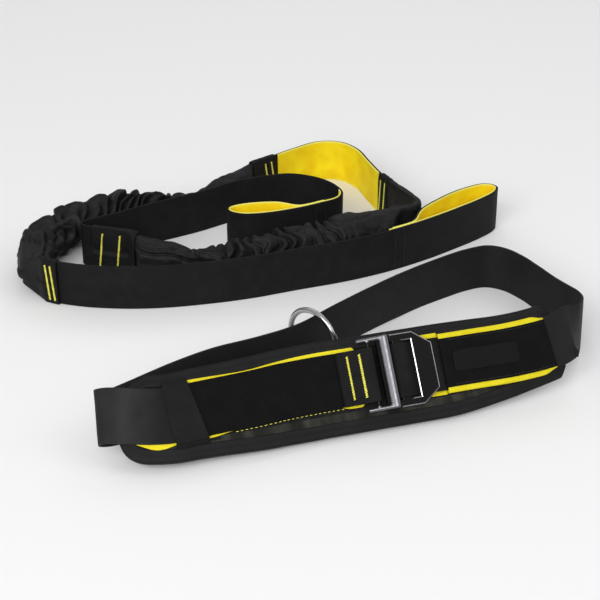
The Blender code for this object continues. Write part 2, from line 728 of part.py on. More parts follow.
def half_outline(start, half, grow):
    corner, tip = pad_corner + grow, pad_tip_half + grow
    rows = []
    for k in range(arc_steps + 1):
        turn = math.pi / 2 * k / arc_steps
        rows.append((corner - grow - corner * math.cos(turn), corner - start - corner * math.sin(turn)))
    for k in range(1, taper_steps + 1):
        share = k / taper_steps
        ease = share * share * (3 - 2 * share)
        rows.append((pad_corner + pad_left_taper * share, -start + (start - half) * ease))
    for k in range(taper_steps + 1):
        share = k / taper_steps
        ease = share * share * (3 - 2 * share)
        rows.append((pad_length - pad_taper * (1 - share) - tip_corner, -half + (half - tip) * ease))
    rows.append((pad_length + grow, tip_corner - tip))
    return rows


def pad_layer(name, line, low, high, grow, material, parts):
    mesh = extruded_profile([pad_outline(grow)], high - low)
    mesh.transform(Matrix.Translation((0, 0, low)))
    return add_object(name, wrap(mesh, line, 0, pad_length), material, parts)


def make_pad(line, materials, parts):
    """Mesh against the waist, foam, outer cloth and the tape that binds their edges"""
    cloth_out = -webbing_thickness / 2 - seat_gap - yellow_band_thickness - layer_gap
    cloth_in = cloth_out - cover_thickness
    foam_in = cloth_in - layer_gap - foam_thickness
    mesh_out = foam_in - layer_gap
    mesh_in = mesh_out - mesh_thickness
    return [
        pad_layer("pad_outer_cloth", line, cloth_in, cloth_out, 0, materials["cloth"], parts),
        pad_layer("pad_foam", line, foam_in, cloth_in - layer_gap, -fine_step / 2, materials["foam"], parts),
        pad_layer("pad_inner_mesh", line, mesh_in, mesh_out, 0, materials["mesh"], parts),
        make_binding(line, mesh_in - seat_gap, cloth_out + seat_gap, materials["cloth"], parts)]


def make_binding(line, low, high, material, parts):
    """Tape folded round the pad's edge: a channel profile lofted round the pad's outline"""
    grow = seat_gap + binding_thickness
    top, bottom = high + binding_thickness, low - binding_thickness
    profile = [(-binding_width, high), (-binding_width, top), (grow, top), (grow, bottom),
               (-binding_width, bottom), (-binding_width, low), (seat_gap, low), (seat_gap, high)]
    outlines = {offset: pad_outline(offset) for offset, level in profile}
    shape = bmesh.new()
    rings = []
    for i in range(len(outlines[grow])):
        rings.append([shape.verts.new((*outlines[offset][i], level)) for offset, level in profile])
    for i, ring in enumerate(rings):
        near = rings[i - 1]
        for k in range(len(profile)):
            shape.faces.new((near[k], near[k - 1], ring[k - 1], ring[k]))
    bmesh.ops.recalc_face_normals(shape, faces=shape.faces)
    mesh = bpy.data.meshes.new("pad_edge_binding")
    shape.to_mesh(mesh)
    shape.free()
    return add_object("pad_edge_binding", wrap(mesh, line, 0, pad_length), material, parts)


def make_bands(line, materials, parts):
    """Yellow band under the left webbing, and a yellow tunnel over the right webbing with its panel"""
    half = webbing_thickness / 2
    low = -half - seat_gap - yellow_band_thickness
    band_end = tunnel_start - layer_gap
    strip = box_outline((-yellow_band_width / 2, low), (yellow_band_width / 2, -half - seat_gap))
    left = sewn_profile([strip], line, band_left_start, band_end - band_left_start)
    outer = box_outline((-yellow_band_width / 2, low), (yellow_band_width / 2, -low))
    room = webbing_width / 2 + seat_gap
    inner = box_outline((-room, -half - seat_gap), (room, half + seat_gap))
    tunnel_length = tunnel_end - tunnel_start
    right = sewn_profile([outer, inner], line, tunnel_start, tunnel_length)
    face = -low + seat_gap
    panel = sewn_profile([box_outline((-tunnel_panel_width / 2, face),
                                      (tunnel_panel_width / 2, face + panel_thickness))],
                         line, tunnel_start, tunnel_length)
    top = face + panel_thickness + seat_gap
    badge = sewn_profile([box_outline((-badge_height / 2, top), (badge_height / 2, top + badge_thickness))],
                         line, badge_station - badge_length / 2, badge_length)
    return [add_object("yellow_band", left, materials["lining"], parts),
            add_object("yellow_tunnel", right, materials["lining"], parts),
            add_object("tunnel_panel", panel, materials["webbing"], parts),
            add_object("badge_patch", badge, materials["cloth"], parts)]


def make_keeper(line, materials, parts):
    """A narrow webbing loop sewn down above and below the belt webbing"""
    floor = -webbing_thickness / 2 - seat_gap - yellow_band_thickness
    roof = webbing_thickness / 2 + seat_gap
    outer, inner = keeper_height / 2, yellow_band_width / 2 + seat_gap
    top = roof + keeper_thickness
    outline = [(-outer, floor), (-inner, floor), (-inner, roof), (inner, roof), (inner, floor),
               (outer, floor), (outer, top), (-outer, top)]
    start = keeper_station - keeper_width / 2
    keeper = add_object("keeper_loop", sewn_profile([outline], line, start, keeper_width),
                        materials["webbing"], parts)
    rows = []
    out = top + seat_gap + thread_diameter / 2
    for k, across in enumerate((-1, 1)):
        runs = even_stops(start + seat_row_inset, start + keeper_width - seat_row_inset, fine_step)
        spots = [line.place(run, across * (outer - seat_row_inset), out) for run in runs]
        row = f"keeper_stitches_{k + 1}"
        rows.append(add_object(row, thread_mesh(spots), materials["webbing"], parts))
    return [keeper, *rows]


def buckle_levels():
    """Heights above the webbing's middle: plate bottom, plate top, webbing over the bridge, hook bar"""
    main = webbing_thickness + seat_gap
    low = main + webbing_thickness / 2 + seat_gap
    top = low + plate_thickness
    return main, low, top, top + seat_gap + webbing_thickness / 2, top + buckle_clearance + frame_bar / 2


def belt_path(line, bench):
    """The belt webbing from the tongue round the back to its tail inside the plate"""
    flex = buckle_station - tongue_length - seat_gap
    left = [station_row(line, run) for run in line.stops(0, flex)[::-1]]
    right = [station_row(line, run) for run in line.stops(tunnel_start - tunnel_lead, line.length)[::-1]]
    low = webbing_width / 2
    back = []
    for x, y, rise, lean_x, lean_y in back_shares:
        upright = math.sqrt(1 - lean_x * lean_x - lean_y * lean_y)
        height = low + rise * (pad_middle - low)
        back.append((x * belt_span, y * belt_span, height, lean_x, lean_y, upright))
    slots = [(*bench.place(distance, 0, out), *bench.wide) for distance, out in slot_route()]
    rows = left[:-1] + smooth_rows([left[-1], *back, right[0]], 3, left[-2], right[1], loose_twist_step)
    rows += right[1:-1] + smooth_rows([right[-1], *slots], 3, right[-2], None, loose_twist_step)
    return Line([Vector(row[:3]) for row in rows], [Vector(row[3:]) for row in rows])


def station_row(line, run):
    i, share = line.split(run)
    return (*line.place(run), *line.wides[i - 1].lerp(line.wides[i], share))


def slot_route():
    """Up through the right slot, over the bridge, down the left slot and back under as a tail"""
    main, low, top, over, bar = buckle_levels()
    wall = webbing_thickness
    return [(plate_end + wall, main), (bridge_end + slot_width, main),
            (bridge_end + slot_width - wall, main + seat_gap), (bridge_end + wall / 2, over - seat_gap),
            (bridge_end - wall, over), (bridge_start + wall, over),
            (bridge_start - wall / 2, over - seat_gap),
            (bridge_start - slot_width / 2, low), (bridge_start - slot_width / 2 - wall / 3, main - seat_gap),
            (bridge_start - slot_width / 2, wall / 3), (bridge_start - wall, 0),
            (bridge_end, 0), (plate_end - 4 * wall, 0)]


class Bench:
    """A flat rigid place on the belt at the wrapped bar, for the steel pieces"""

    def __init__(self, line):
        self.spot, self.along, self.wide, self.out = line.frame(buckle_station)

    def place(self, along, across, out):
        return self.spot + self.along * along + self.wide * across + self.out * out

    def matrix(self):
        turn = Matrix((self.along, self.wide, self.out)).transposed()
        return Matrix.Translation(self.spot) @ turn.to_4x4()


def wrapped_bar_level():
    hook = buckle_levels()[4]
    return frame_toe_level + (hook - frame_toe_level) * frame_toe / (frame_toe + bar_gap)


def make_frame(bench, materials, parts, cutters):
    """Hook bar, wrapped bar and two side rails that slope down to their toes"""
    hook = buckle_levels()[4]
    side = (frame_height - frame_rail) / 2
    ends = [bench.place(bar_gap, across, hook) for across in (-side, side)]
    frame = add_object("buckle_frame", round_tube(ends, [frame_bar / 2] * 2, 4), materials["steel"], parts)
    for name, across in (("lower_rail", -side), ("upper_rail", side)):
        spots = [bench.place(-frame_toe, across, frame_toe_level), bench.place(bar_gap, across, hook)]
        join(frame, name, round_tube(spots, [frame_rail / 2] * 2, 3), cutters)
    level = wrapped_bar_level()
    spots = [bench.place(0, across, level) for across in (-side, side)]
    join(frame, "wrapped_bar", round_tube(spots, [wrapped_bar / 2] * 2, 3), cutters)
    return frame


def make_plate(bench, materials, parts, cutters):
    """A stamped plate with two slots, cut corners and a lip that holds it behind the hook bar"""
    main, low, top, over, bar = buckle_levels()
    half = plate_height / 2
    tab = frame_height / 2 - frame_rail - buckle_clearance
    shoulder = bar_gap + frame_bar / 2 + shoulder_gap
    edge = plate_start + seat_gap
    outline = [(edge, -tab), (shoulder, -tab), (shoulder, -half), (plate_end - plate_chamfer, -half),
               (plate_end, plate_chamfer * chamfer_share - half),
               (plate_end, half - plate_chamfer * chamfer_share),
               (plate_end - plate_chamfer, half), (shoulder, half), (shoulder, tab), (edge, tab)]
    sheet = extruded_profile([outline], plate_thickness)
    sheet.transform(bench.matrix() @ Matrix.Translation((0, 0, low)))
    plate = add_object("buckle_plate", sheet, materials["plate"], parts)
    for name, x in (("left_slot", bridge_start - slot_width), ("right_slot", bridge_end)):
        hole = extruded_profile([box_outline((x, -slot_height / 2), (x + slot_width, slot_height / 2))],
                                3 * plate_thickness)
        hole.transform(bench.matrix() @ Matrix.Translation((0, 0, low - plate_thickness)))
        cut(plate, name, hole, cutters)
    inset = half - frame_rail - 2 * buckle_clearance
    root = plate_thickness / 2
    lip = extruded_profile([box_outline((plate_start, -inset), (plate_start + lip_thickness, inset))],
                           root + hook_lip)
    lip.transform(bench.matrix() @ Matrix.Translation((0, 0, low + root)))
    join(plate, "hook_lip", lip, cutters)
    return plate


def make_tongue(bench, materials, parts, cutters):
    """The webbing end folded back round the frame's wrapped bar and sewn to itself"""
    level = wrapped_bar_level()
    wrap_radius = wrapped_bar / 2 + seat_gap + webbing_thickness / 2
    upper = webbing_thickness + seat_gap
    route = [(share * tongue_length, out * wrap_radius) for share, out in tongue_lower_shares]
    for k in range(wrap_steps + 1):
        turn = math.pi * wrap_sweep_share * (2 * k / wrap_steps - 1)
        route.append((wrap_radius * math.cos(turn), level + wrap_radius * math.sin(turn)))
    for share, out in tongue_upper_shares:
        route.append((share * tongue_length, upper + out * (level + wrap_radius - upper)))
    rows = [bench.place(distance, 0, out) for distance, out in route]
    spots = [Vector(row) for row in smooth_rows(rows, 3)]
    path = Line(spots, [bench.wide.copy() for spot in spots])
    strap = ribbon("tongue_webbing", path, 0, path.length, webbing_width, webbing_thickness,
                   materials["webbing"], parts)
    pieces = [strap, make_frame(bench, materials, parts, cutters)]
    out = -(webbing_thickness / 2 + seat_gap + thread_diameter / 2)
    for k, place in enumerate(tongue_rows):
        pieces.append(make_stitches(f"tongue_stitches_{k + 1}", path, path.length - place, out, thread_reach,
                                    materials, parts))
    return pieces


def make_ring(path, materials, parts):
    """A welded round ring that the belt webbing passes through"""
    x, y = (share * belt_span for share in ring_place_shares)
    run = path.nearest(Vector((x, y, pad_middle)))
    spot, along, wide, face = path.frame(run)
    bpy.ops.mesh.primitive_torus_add(major_radius=(ring_outer - ring_wire) / 2, minor_radius=ring_wire / 2,
                                     major_segments=28, minor_segments=8)
    ring = bpy.context.active_object
    ring.name = "belt_ring"
    for group in list(ring.users_collection):
        group.objects.unlink(ring)
    parts.objects.link(ring)
    turn = Matrix((wide, face, along)).transposed().to_4x4()
    spot = spot + wide * ((ring_outer - webbing_width) / 2 - ring_wire - seat_gap)
    ring.data.transform(Matrix.Translation(spot) @ turn)
    ring.data.materials.append(materials["steel"])
    return ring, spot, wide


def make_belt(materials, parts, cutters):
    line = pad_line()
    bench = Bench(line)
    path = belt_path(line, bench)
    make_pad(line, materials, parts)
    make_bands(line, materials, parts)
    make_keeper(line, materials, parts)
    split = path.nearest(line.place(tunnel_start + adjuster_reach))
    ribbon("belt_webbing", path, 0, split - seat_gap / 2, webbing_width, webbing_thickness,
           materials["webbing"], parts, strips=2)
    adjuster = ribbon("adjuster_webbing", path, split + seat_gap / 2, path.length, webbing_width,
                      webbing_thickness, materials["webbing"], parts, strips=2)
    tongue = make_tongue(bench, materials, parts, cutters)
    plate = make_plate(bench, materials, parts, cutters)
    ring, spot, wide = make_ring(path, materials, parts)
    return line, bench, tongue, [plate, adjuster], ring, spot, path


def carry(name, spot, things):
    """An empty on the joint's axis that its pieces hang from"""
    hinge = bpy.data.objects.new(name, None)
    bpy.context.scene.collection.objects.link(hinge)
    hinge.location = spot
    bpy.context.view_layer.update()
    for thing in things:
        thing.parent = hinge
        thing.matrix_parent_inverse = hinge.matrix_world.inverted()
    return hinge


def centre_on_floor(parts, cutters, hinges):
    """Bring the set's middle over the origin and its lowest point to the floor"""
    bpy.context.view_layer.update()
    graph = bpy.context.evaluated_depsgraph_get()
    spots = []
    for thing in parts.objects:
        mesh = thing.evaluated_get(graph).to_mesh()
        spots += [thing.matrix_world @ vert.co for vert in mesh.vertices]
        thing.evaluated_get(graph).to_mesh_clear()
    lows = [min(spot[k] for spot in spots) for k in range(3)]
    highs = [max(spot[k] for spot in spots) for k in range(3)]
    base = bpy.data.objects.new("set_base", None)
    bpy.context.scene.collection.objects.link(base)
    for thing in [*parts.objects, *cutters.objects, *hinges]:
        if thing.parent is None:
            thing.parent = base
    base.location = (-(lows[0] + highs[0]) / 2, -(lows[1] + highs[1]) / 2, -lows[2])
    bpy.context.view_layer.update()
    return base


def build():
    clear_scene()
    parts, cutters = make_collections()
    materials = make_materials()
    tether, covers, path_1, path_2, sets = make_tether(materials, parts, cutters)
    joints = [path.nearest(floor_spot(shares))
              for path, shares in ((path_1, handle_1_joint_shares), (path_2, handle_2_joint_shares))]
    for number, path, cover, joint, first in ((1, path_1, covers[0], joints[0], True),
                                              (2, path_2, covers[3], joints[1], False)):
        pocket = tether.place(cover.from_flat(cover_pocket_depth - fine_step))
        owner = sets[f"handle_{number}"]
        owner += make_handle(number, path, pocket, joint, first, materials, parts)
        for k, distance in enumerate(handle_rows):
            out = -(webbing_thickness / 2 + seat_gap + thread_diameter / 2)
            owner.append(make_stitches(f"handle_{number}_stitches_{k + 1}", path, joint + distance, out,
                                       thread_reach, materials, parts))
            owner[-1].data.materials[0] = materials["webbing"]
    line, bench, tongue, plate, ring, ring_spot, belt = make_belt(materials, parts, cutters)
    hinges = [carry("handle_1_pull", path_1.place(path_1.length / 2), sets["handle_1"]),
              carry("handle_2_pull", path_2.place(path_2.length / 2), sets["handle_2"]),
              carry("tether_lift", tether.place(tether.length / 2), sets["centre"]),
              carry("tongue_lift", bench.place(-tongue_length, 0, webbing_thickness / 2), tongue),
              carry("plate_unhook", bench.place(plate_start, 0, 0), plate),
              carry("ring_swing", ring_spot, [ring])]
    centre_on_floor(parts, cutters, hinges)
    return line, bench, tether, belt


build()
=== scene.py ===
"""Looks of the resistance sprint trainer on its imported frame: webbing, gathered sleeves,
padded belt, thread and steel, lying on a pale studio floor."""

import bisect
import math

import bmesh
import bpy
from mathutils import Matrix, Vector, noise


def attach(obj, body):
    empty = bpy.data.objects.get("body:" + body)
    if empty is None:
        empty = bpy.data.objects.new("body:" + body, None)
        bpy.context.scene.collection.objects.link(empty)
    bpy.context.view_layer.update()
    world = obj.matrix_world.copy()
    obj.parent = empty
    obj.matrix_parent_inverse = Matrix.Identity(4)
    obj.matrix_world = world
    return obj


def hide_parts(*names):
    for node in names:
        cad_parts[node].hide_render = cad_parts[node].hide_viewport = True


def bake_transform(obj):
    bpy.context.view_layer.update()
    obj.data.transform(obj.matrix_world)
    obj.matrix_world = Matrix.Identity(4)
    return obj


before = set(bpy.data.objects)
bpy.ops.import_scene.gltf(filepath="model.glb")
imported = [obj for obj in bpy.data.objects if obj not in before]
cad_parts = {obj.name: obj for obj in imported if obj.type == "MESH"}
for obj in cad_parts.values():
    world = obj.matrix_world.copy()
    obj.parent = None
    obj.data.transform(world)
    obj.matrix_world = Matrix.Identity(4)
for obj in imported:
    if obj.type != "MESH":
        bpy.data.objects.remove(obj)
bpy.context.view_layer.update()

mm = 0.001
UP = Vector((0, 0, 1))
set_base = Vector((13.75, 5.88, 0.25)) * mm

# Webbing and lining; a lining shows a hair wider than the webbing that it is sewn to
webbing_width = 50 * mm
webbing_thickness = 2.2 * mm
lining_width = 50.8 * mm
lining_thickness = 1.2 * mm
lining_size = (lining_width, lining_thickness)
# How far the lining of handle 1 and of handle 2 runs past its joint
lining_past_joint = (12 * mm, 46 * mm)
seat_gap = 0.3 * mm
layer_gap = 0.4 * mm
lining_level = webbing_thickness / 2 + seat_gap + lining_thickness / 2

# Stitches: pitch, length, thickness, and how far each is turned to either side
satin_stitch = (1.15 * mm, 2.9 * mm, 1.3 * mm, math.radians(62))
handle_stitch = (3 * mm, 2.8 * mm, 1.0 * mm, 0)
band_stitch = (4.4 * mm, 3.0 * mm, 0.6 * mm, 0)
panel_stitch = (3.2 * mm, 2.8 * mm, 0.8 * mm, 0)
keeper_stitch = (2.4 * mm, 2.2 * mm, 0.9 * mm, 0)
tape_stitch_pitch = 3.4 * mm
tape_stitch_size = (2.9 * mm, 0.8 * mm, 0.6 * mm)
seam_reach = 20 * mm

# Lay of the set
tether_span = 500 * mm
belt_span = 500 * mm
row_steps = 10
strap_step = 2.5 * mm
ripple_depth = 0.35 * mm
weld = 0.05 * mm
joint_overlap = 13 * mm
leg_opening = 2.5 * mm
# Soft bends of the belt strap past the keeper: place, width and height
strap_bends = [(24 * mm, 7 * mm, 1.3 * mm), (52 * mm, 12 * mm, 2.4 * mm)]
# Painted light and shade on that strap past the keeper, a painted shade band and a painted highlight band:
# place, width and share
strap_painted_shading = [(16 * mm, 11 * mm, -1.0), (54 * mm, 10 * mm, 1.0)]
fade_length = 260 * mm

# Sleeves and covers
gather_pitch = 14 * mm
sleeve_step = 1.05 * mm
sleeve_wall = 0.5 * mm
cloth_gather = 1.35
sleeve_tuck = 5 * mm
cover_tall = 51 * mm
cover_flat_thickness = 9 * mm
cover_round_radius = 20.5 * mm
cover_pocket_depth = 22 * mm
cover_taper = 22 * mm
cover_web = 2 * mm
cover_step = 1.2 * mm
cover_wall = 1.3 * mm
# Cloth that a radian of turn takes, as a multiple of a millimetre, for the weave on a tube
sleeve_girth_scale = 20
cover_girth_scale = 18
pocket_reach = cover_pocket_depth - 4 * mm
sleeve_neck_length = 12 * mm
crimp_length = 12 * mm
station_shift = 0.9 * mm
bungee_diameter = 14 * mm

# Waist pad
pad_length = 424 * mm
pad_below = 48 * mm
pad_below_left = 40 * mm
pad_above = 37.5 * mm
pad_lean = math.radians(45)
pad_corner = 26 * mm
pad_left_taper = 150 * mm
pad_taper = 120 * mm
pad_tip_half = 35 * mm
tip_corner = 8 * mm
mesh_thickness = 1.4 * mm
foam_thickness = 6 * mm
cloth_thickness = 1.2 * mm
band_thickness = 1.2 * mm
band_width = 56 * mm
binding_thickness = 1.1 * mm
tape_width = 11 * mm
tape_turn = 4 * mm
tape_wall = 0.7 * mm
tape_bulge = 1.1 * mm
swell_cap = 5 * mm
panel_width = 45 * mm
panel_thickness = 1.2 * mm
tunnel_end = 412 * mm
tunnel_wall = 1 * mm
keeper_station = 56 * mm
keeper_width = 28 * mm
keeper_height = 61 * mm
keeper_thickness = 1.6 * mm
keeper_slant = 0.14
badge_station = 345 * mm
badge_length = 64 * mm
badge_height = 20 * mm
badge_thickness = 0.9 * mm
badge_corner = 3 * mm
diamond_station = 33 * mm
diamond_half = 23 * mm
thin_start = 74 * mm
thin_end = 196 * mm

# Steel buckle and ring
buckle_station = 234 * mm
bar_gap = 14 * mm
frame_height = 68 * mm
frame_rail = 3.9 * mm
frame_bar = 7.5 * mm
frame_toe = 8.5 * mm
frame_toe_level = 3.6 * mm
bar_ridge = 0.6 * mm
bar_slope_drop = 3.6 * mm
cast_grain = 0.55 * mm
wrapped_bar = 3.6 * mm
plate_height = 68 * mm
plate_thickness = 2.6 * mm
plate_chamfer = 17 * mm
chamfer_share = 0.75
slot_width = 8 * mm
slot_height = 53 * mm
plate_bridge = 10 * mm
plate_hook_land = 7.5 * mm
plate_mark_land = 19.5 * mm
hook_lip = 3 * mm
rubbed_edge = 1.1 * mm
lip_thickness = 2 * mm
shoulder_gap = 3.4 * mm
buckle_clearance = 0.6 * mm
ring_outer = 64 * mm
ring_wire = 5.6 * mm
ring_spot = Vector((26.6, -123.98, 32.85)) * mm
ring_strap_way = Vector((0.6743, 0.7385, 0))
tongue_length = 31 * mm
adjuster_reach = 14 * mm
tunnel_gap = 13 * mm
tunnel_lead = 4 * mm

# Studio light
world_strength = 0.58
key_power = 135
fill_power = 6
back_power = 5

# The camera that the set is seen by: fitted lens, place and downward look
camera_lens = 91.2
camera_place = (13.75 * mm, -1379.76 * mm, 800.25 * mm)
camera_down = math.radians(30)

# The tether's centre line on the floor, as shares of tether_span
strap_1_tip_shares = [(0.272, 0.236), (0.338, 0.308), (0.398, 0.350), (0.430, 0.356), (0.446, 0.342)]
strap_1_shares = [
    (0.442, 0.322), (0.424, 0.298), (0.370, 0.250), (0.284, 0.184), (0.200, 0.130),
    (0.110, 0.086), (0.000, 0.046), (-0.104, 0.008), (-0.206, -0.018), (-0.310, -0.034),
    (-0.418, -0.032), (-0.500, -0.014)]
cover_1_shares = [(-0.536, 0.006), (-0.556, 0.040), (-0.566, 0.092)]
sleeve_1_shares = [
    (-0.562, 0.150), (-0.534, 0.212), (-0.480, 0.270), (-0.414, 0.314), (-0.342, 0.336),
    (-0.286, 0.354), (-0.230, 0.378), (-0.180, 0.414)]
cover_2_shares = [(-0.134, 0.454), (-0.096, 0.484), (-0.060, 0.514)]
centre_strap_shares = [
    (-0.020, 0.548), (0.040, 0.590), (0.098, 0.588), (0.138, 0.546), (0.162, 0.480), (0.188, 0.412)]
cover_3_shares = [(0.214, 0.362), (0.246, 0.308), (0.262, 0.272), (0.250, 0.248), (0.204, 0.240)]
sleeve_2_shares = [
    (0.140, 0.218), (0.080, 0.184), (0.020, 0.150), (-0.040, 0.124), (-0.100, 0.106),
    (-0.160, 0.096), (-0.220, 0.092), (-0.280, 0.100)]
cover_4_shares = [(-0.340, 0.116), (-0.400, 0.132), (-0.450, 0.146)]
strap_2_shares = [
    (-0.470, 0.156), (-0.468, 0.174), (-0.400, 0.212), (-0.334, 0.255), (-0.226, 0.316),
    (-0.138, 0.376), (-0.040, 0.410), (0.024, 0.398), (0.070, 0.364), (0.094, 0.318),
    (0.084, 0.284), (0.050, 0.262), (0.000, 0.236), (-0.060, 0.214), (-0.112, 0.204)]
strap_2_tip_shares = [(-0.146, 0.212), (-0.160, 0.230), (-0.146, 0.248), (-0.104, 0.262), (-0.050, 0.266)]
handle_1_joint_shares = (0.214, 0.138)
handle_2_joint_shares = (0.046, 0.259)

# The padded front of the belt, as shares of belt_span, and its lean as a share of pad_lean
pad_shares = [
    (-0.316, -0.560, 1.0), (-0.272, -0.564, 1.0), (-0.226, -0.560, 1.0), (-0.180, -0.542, 1.0),
    (-0.080, -0.505, 0.98), (-0.030, -0.486, 0.94), (0.030, -0.467, 0.90), (0.090, -0.449, 0.90),
    (0.170, -0.425, 0.90), (0.250, -0.401, 0.90), (0.320, -0.380, 0.90), (0.390, -0.361, 0.86),
    (0.450, -0.339, 0.78), (0.490, -0.317, 0.70), (0.514, -0.293, 0.64)]

# The strap behind it: x, y, rise from the floor to the pad's height, lean in x and in y
back_shares = [
    (-0.340, -0.560, 1.0, -0.10, 0.70), (-0.357, -0.554, 0.80, -0.12, 0.70),
    (-0.356, -0.540, 0.45, -0.12, 0.68), (-0.334, -0.527, 0.32, -0.10, 0.62),
    (-0.298, -0.500, 0.36, -0.05, 0.50), (-0.222, -0.434, 0.46, 0.0, 0.24),
    (-0.158, -0.386, 0.50, 0.0, 0.06), (-0.076, -0.338, 0.42, 0.0, 0.0), (-0.002, -0.287, 0.34, 0.0, 0.0),
    (0.058, -0.224, 0.32, 0.0, 0.0), (0.140, -0.134, 0.17, 0.0, 0.0), (0.228, -0.046, 0.0, 0.0, 0.0),
    (0.300, 0.008, 0.0, 0.0, 0.0), (0.350, 0.040, 0.0, 0.0, 0.0), (0.394, 0.056, 0.0, 0.0, 0.0),
    (0.432, 0.042, 0.0, 0.0, 0.0), (0.462, 0.010, 0.0, 0.0, 0.0), (0.486, -0.028, 0.0, 0.0, 0.0),
    (0.510, -0.072, 0.0, 0.0, 0.0), (0.530, -0.112, 0.06, 0.04, 0.0), (0.547, -0.160, 0.26, 0.08, 0.02),
    (0.551, -0.208, 0.54, 0.0, 0.06), (0.537, -0.256, 0.80, -0.10, 0.14)]

# Along a sleeve: share of its length, radius, depth of the rings and of the lengthwise pleats
sleeve_1_table = [
    (0.0, 20.0, 0.8, 4.5), (0.06, 23.0, 3.2, 6.5), (0.13, 25.0, 8.0, 4.0), (0.22, 25.5, 11.5, 1.0),
    (0.36, 26.0, 12.0, 0.6), (0.55, 25.5, 12.0, 0.6), (0.68, 23.0, 9.5, 1.0), (0.78, 18.5, 4.5, 3.0),
    (0.90, 17.0, 2.0, 4.0), (1.0, 18.0, 1.0, 3.0)]
sleeve_2_table = [
    (0.0, 21.0, 0.8, 1.4), (0.07, 25.0, 1.2, 1.4), (0.14, 26.0, 2.8, 1.2), (0.19, 24.0, 6.5, 0.8),
    (0.26, 26.0, 11.0, 0.6), (0.38, 26.5, 12.0, 0.6), (0.50, 25.5, 11.5, 0.6), (0.64, 23.5, 10.0, 0.8),
    (0.78, 19.0, 5.5, 2.6), (0.90, 16.5, 2.6, 5.0), (1.0, 17.0, 1.2, 4.0)]

# Places worked out from the sizes above
plate_start = bar_gap - frame_bar / 2 - buckle_clearance - lip_thickness
bridge_start = plate_start + plate_hook_land + slot_width
bridge_end = bridge_start + plate_bridge
plate_end = bridge_end + slot_width + plate_mark_land
shoulder = bar_gap + frame_bar / 2 + shoulder_gap
tunnel_start = buckle_station + plate_end + tunnel_gap
tunnel_mouth = tunnel_start - tunnel_lead
plate_from = buckle_station - 14 * mm
plate_to = buckle_station + plate_end - 12 * mm
pad_stack = (webbing_thickness / 2 + band_thickness + cloth_thickness + foam_thickness
             + mesh_thickness + binding_thickness + 2 * seat_gap + 3 * layer_gap)
pad_middle = (pad_below + binding_thickness) * math.cos(pad_lean) + pad_stack * math.sin(pad_lean)

# Heights above the webbing's middle: the pad's two faces, then the pieces of the buckle
pad_front = -webbing_thickness / 2 - seat_gap - band_thickness - layer_gap
pad_back = pad_front - cloth_thickness - foam_thickness - mesh_thickness - 2 * layer_gap
pad_level = (pad_front + pad_back) / 2
adjuster_level = webbing_thickness + seat_gap
plate_low = adjuster_level + webbing_thickness / 2 + seat_gap
plate_top = plate_low + plate_thickness
bridge_level = plate_top + seat_gap + webbing_thickness / 2
hook_level = plate_top + buckle_clearance + frame_bar / 2
wrapped_level = frame_toe_level + (hook_level - frame_toe_level) * frame_toe / (frame_toe + bar_gap)


def clamp(share):
    return min(max(share, 0), 1)


def ease(share):
    share = clamp(share)
    return share * share * (3 - 2 * share)


def bell(x, middle, width):
    """1 at the middle, falling off softly to both sides"""
    return math.exp(-((x - middle) / width) ** 2)


def wander(*spot):
    """Smooth noise at a spot of three numbers"""
    return noise.noise(Vector(spot))


def squared(value, power):
    """A sine or cosine raised to a power, which makes a round squarer"""
    return math.copysign(abs(value) ** power, value)


def configure(thing, **settings):
    """Set a thing's attributes and hand it back"""
    for name, value in settings.items():
        setattr(thing, name, value)
    return thing


def smooth_rows(rows, before=None, after=None):
    """Catmull-Rom curve through rows of numbers"""
    first = before or [2 * a - b for a, b in zip(rows[0], rows[1])]
    last = after or [2 * a - b for a, b in zip(rows[-1], rows[-2])]
    rows = [first, *rows, last]
    fine = []
    for i in range(1, len(rows) - 2):
        near = rows[i - 1:i + 3]
        fine += [[curve_value(k / row_steps, *values) for values in zip(*near)] for k in range(row_steps)]
    return [*fine, list(rows[-2])]


def curve_value(u, a, b, c, d):
    """The curve's value at a share u of the way from b to c"""
    bend = -a + 3 * b - 3 * c + d
    return b + u * (c - a + u * (2 * a - 5 * b + 4 * c - d + u * bend)) / 2


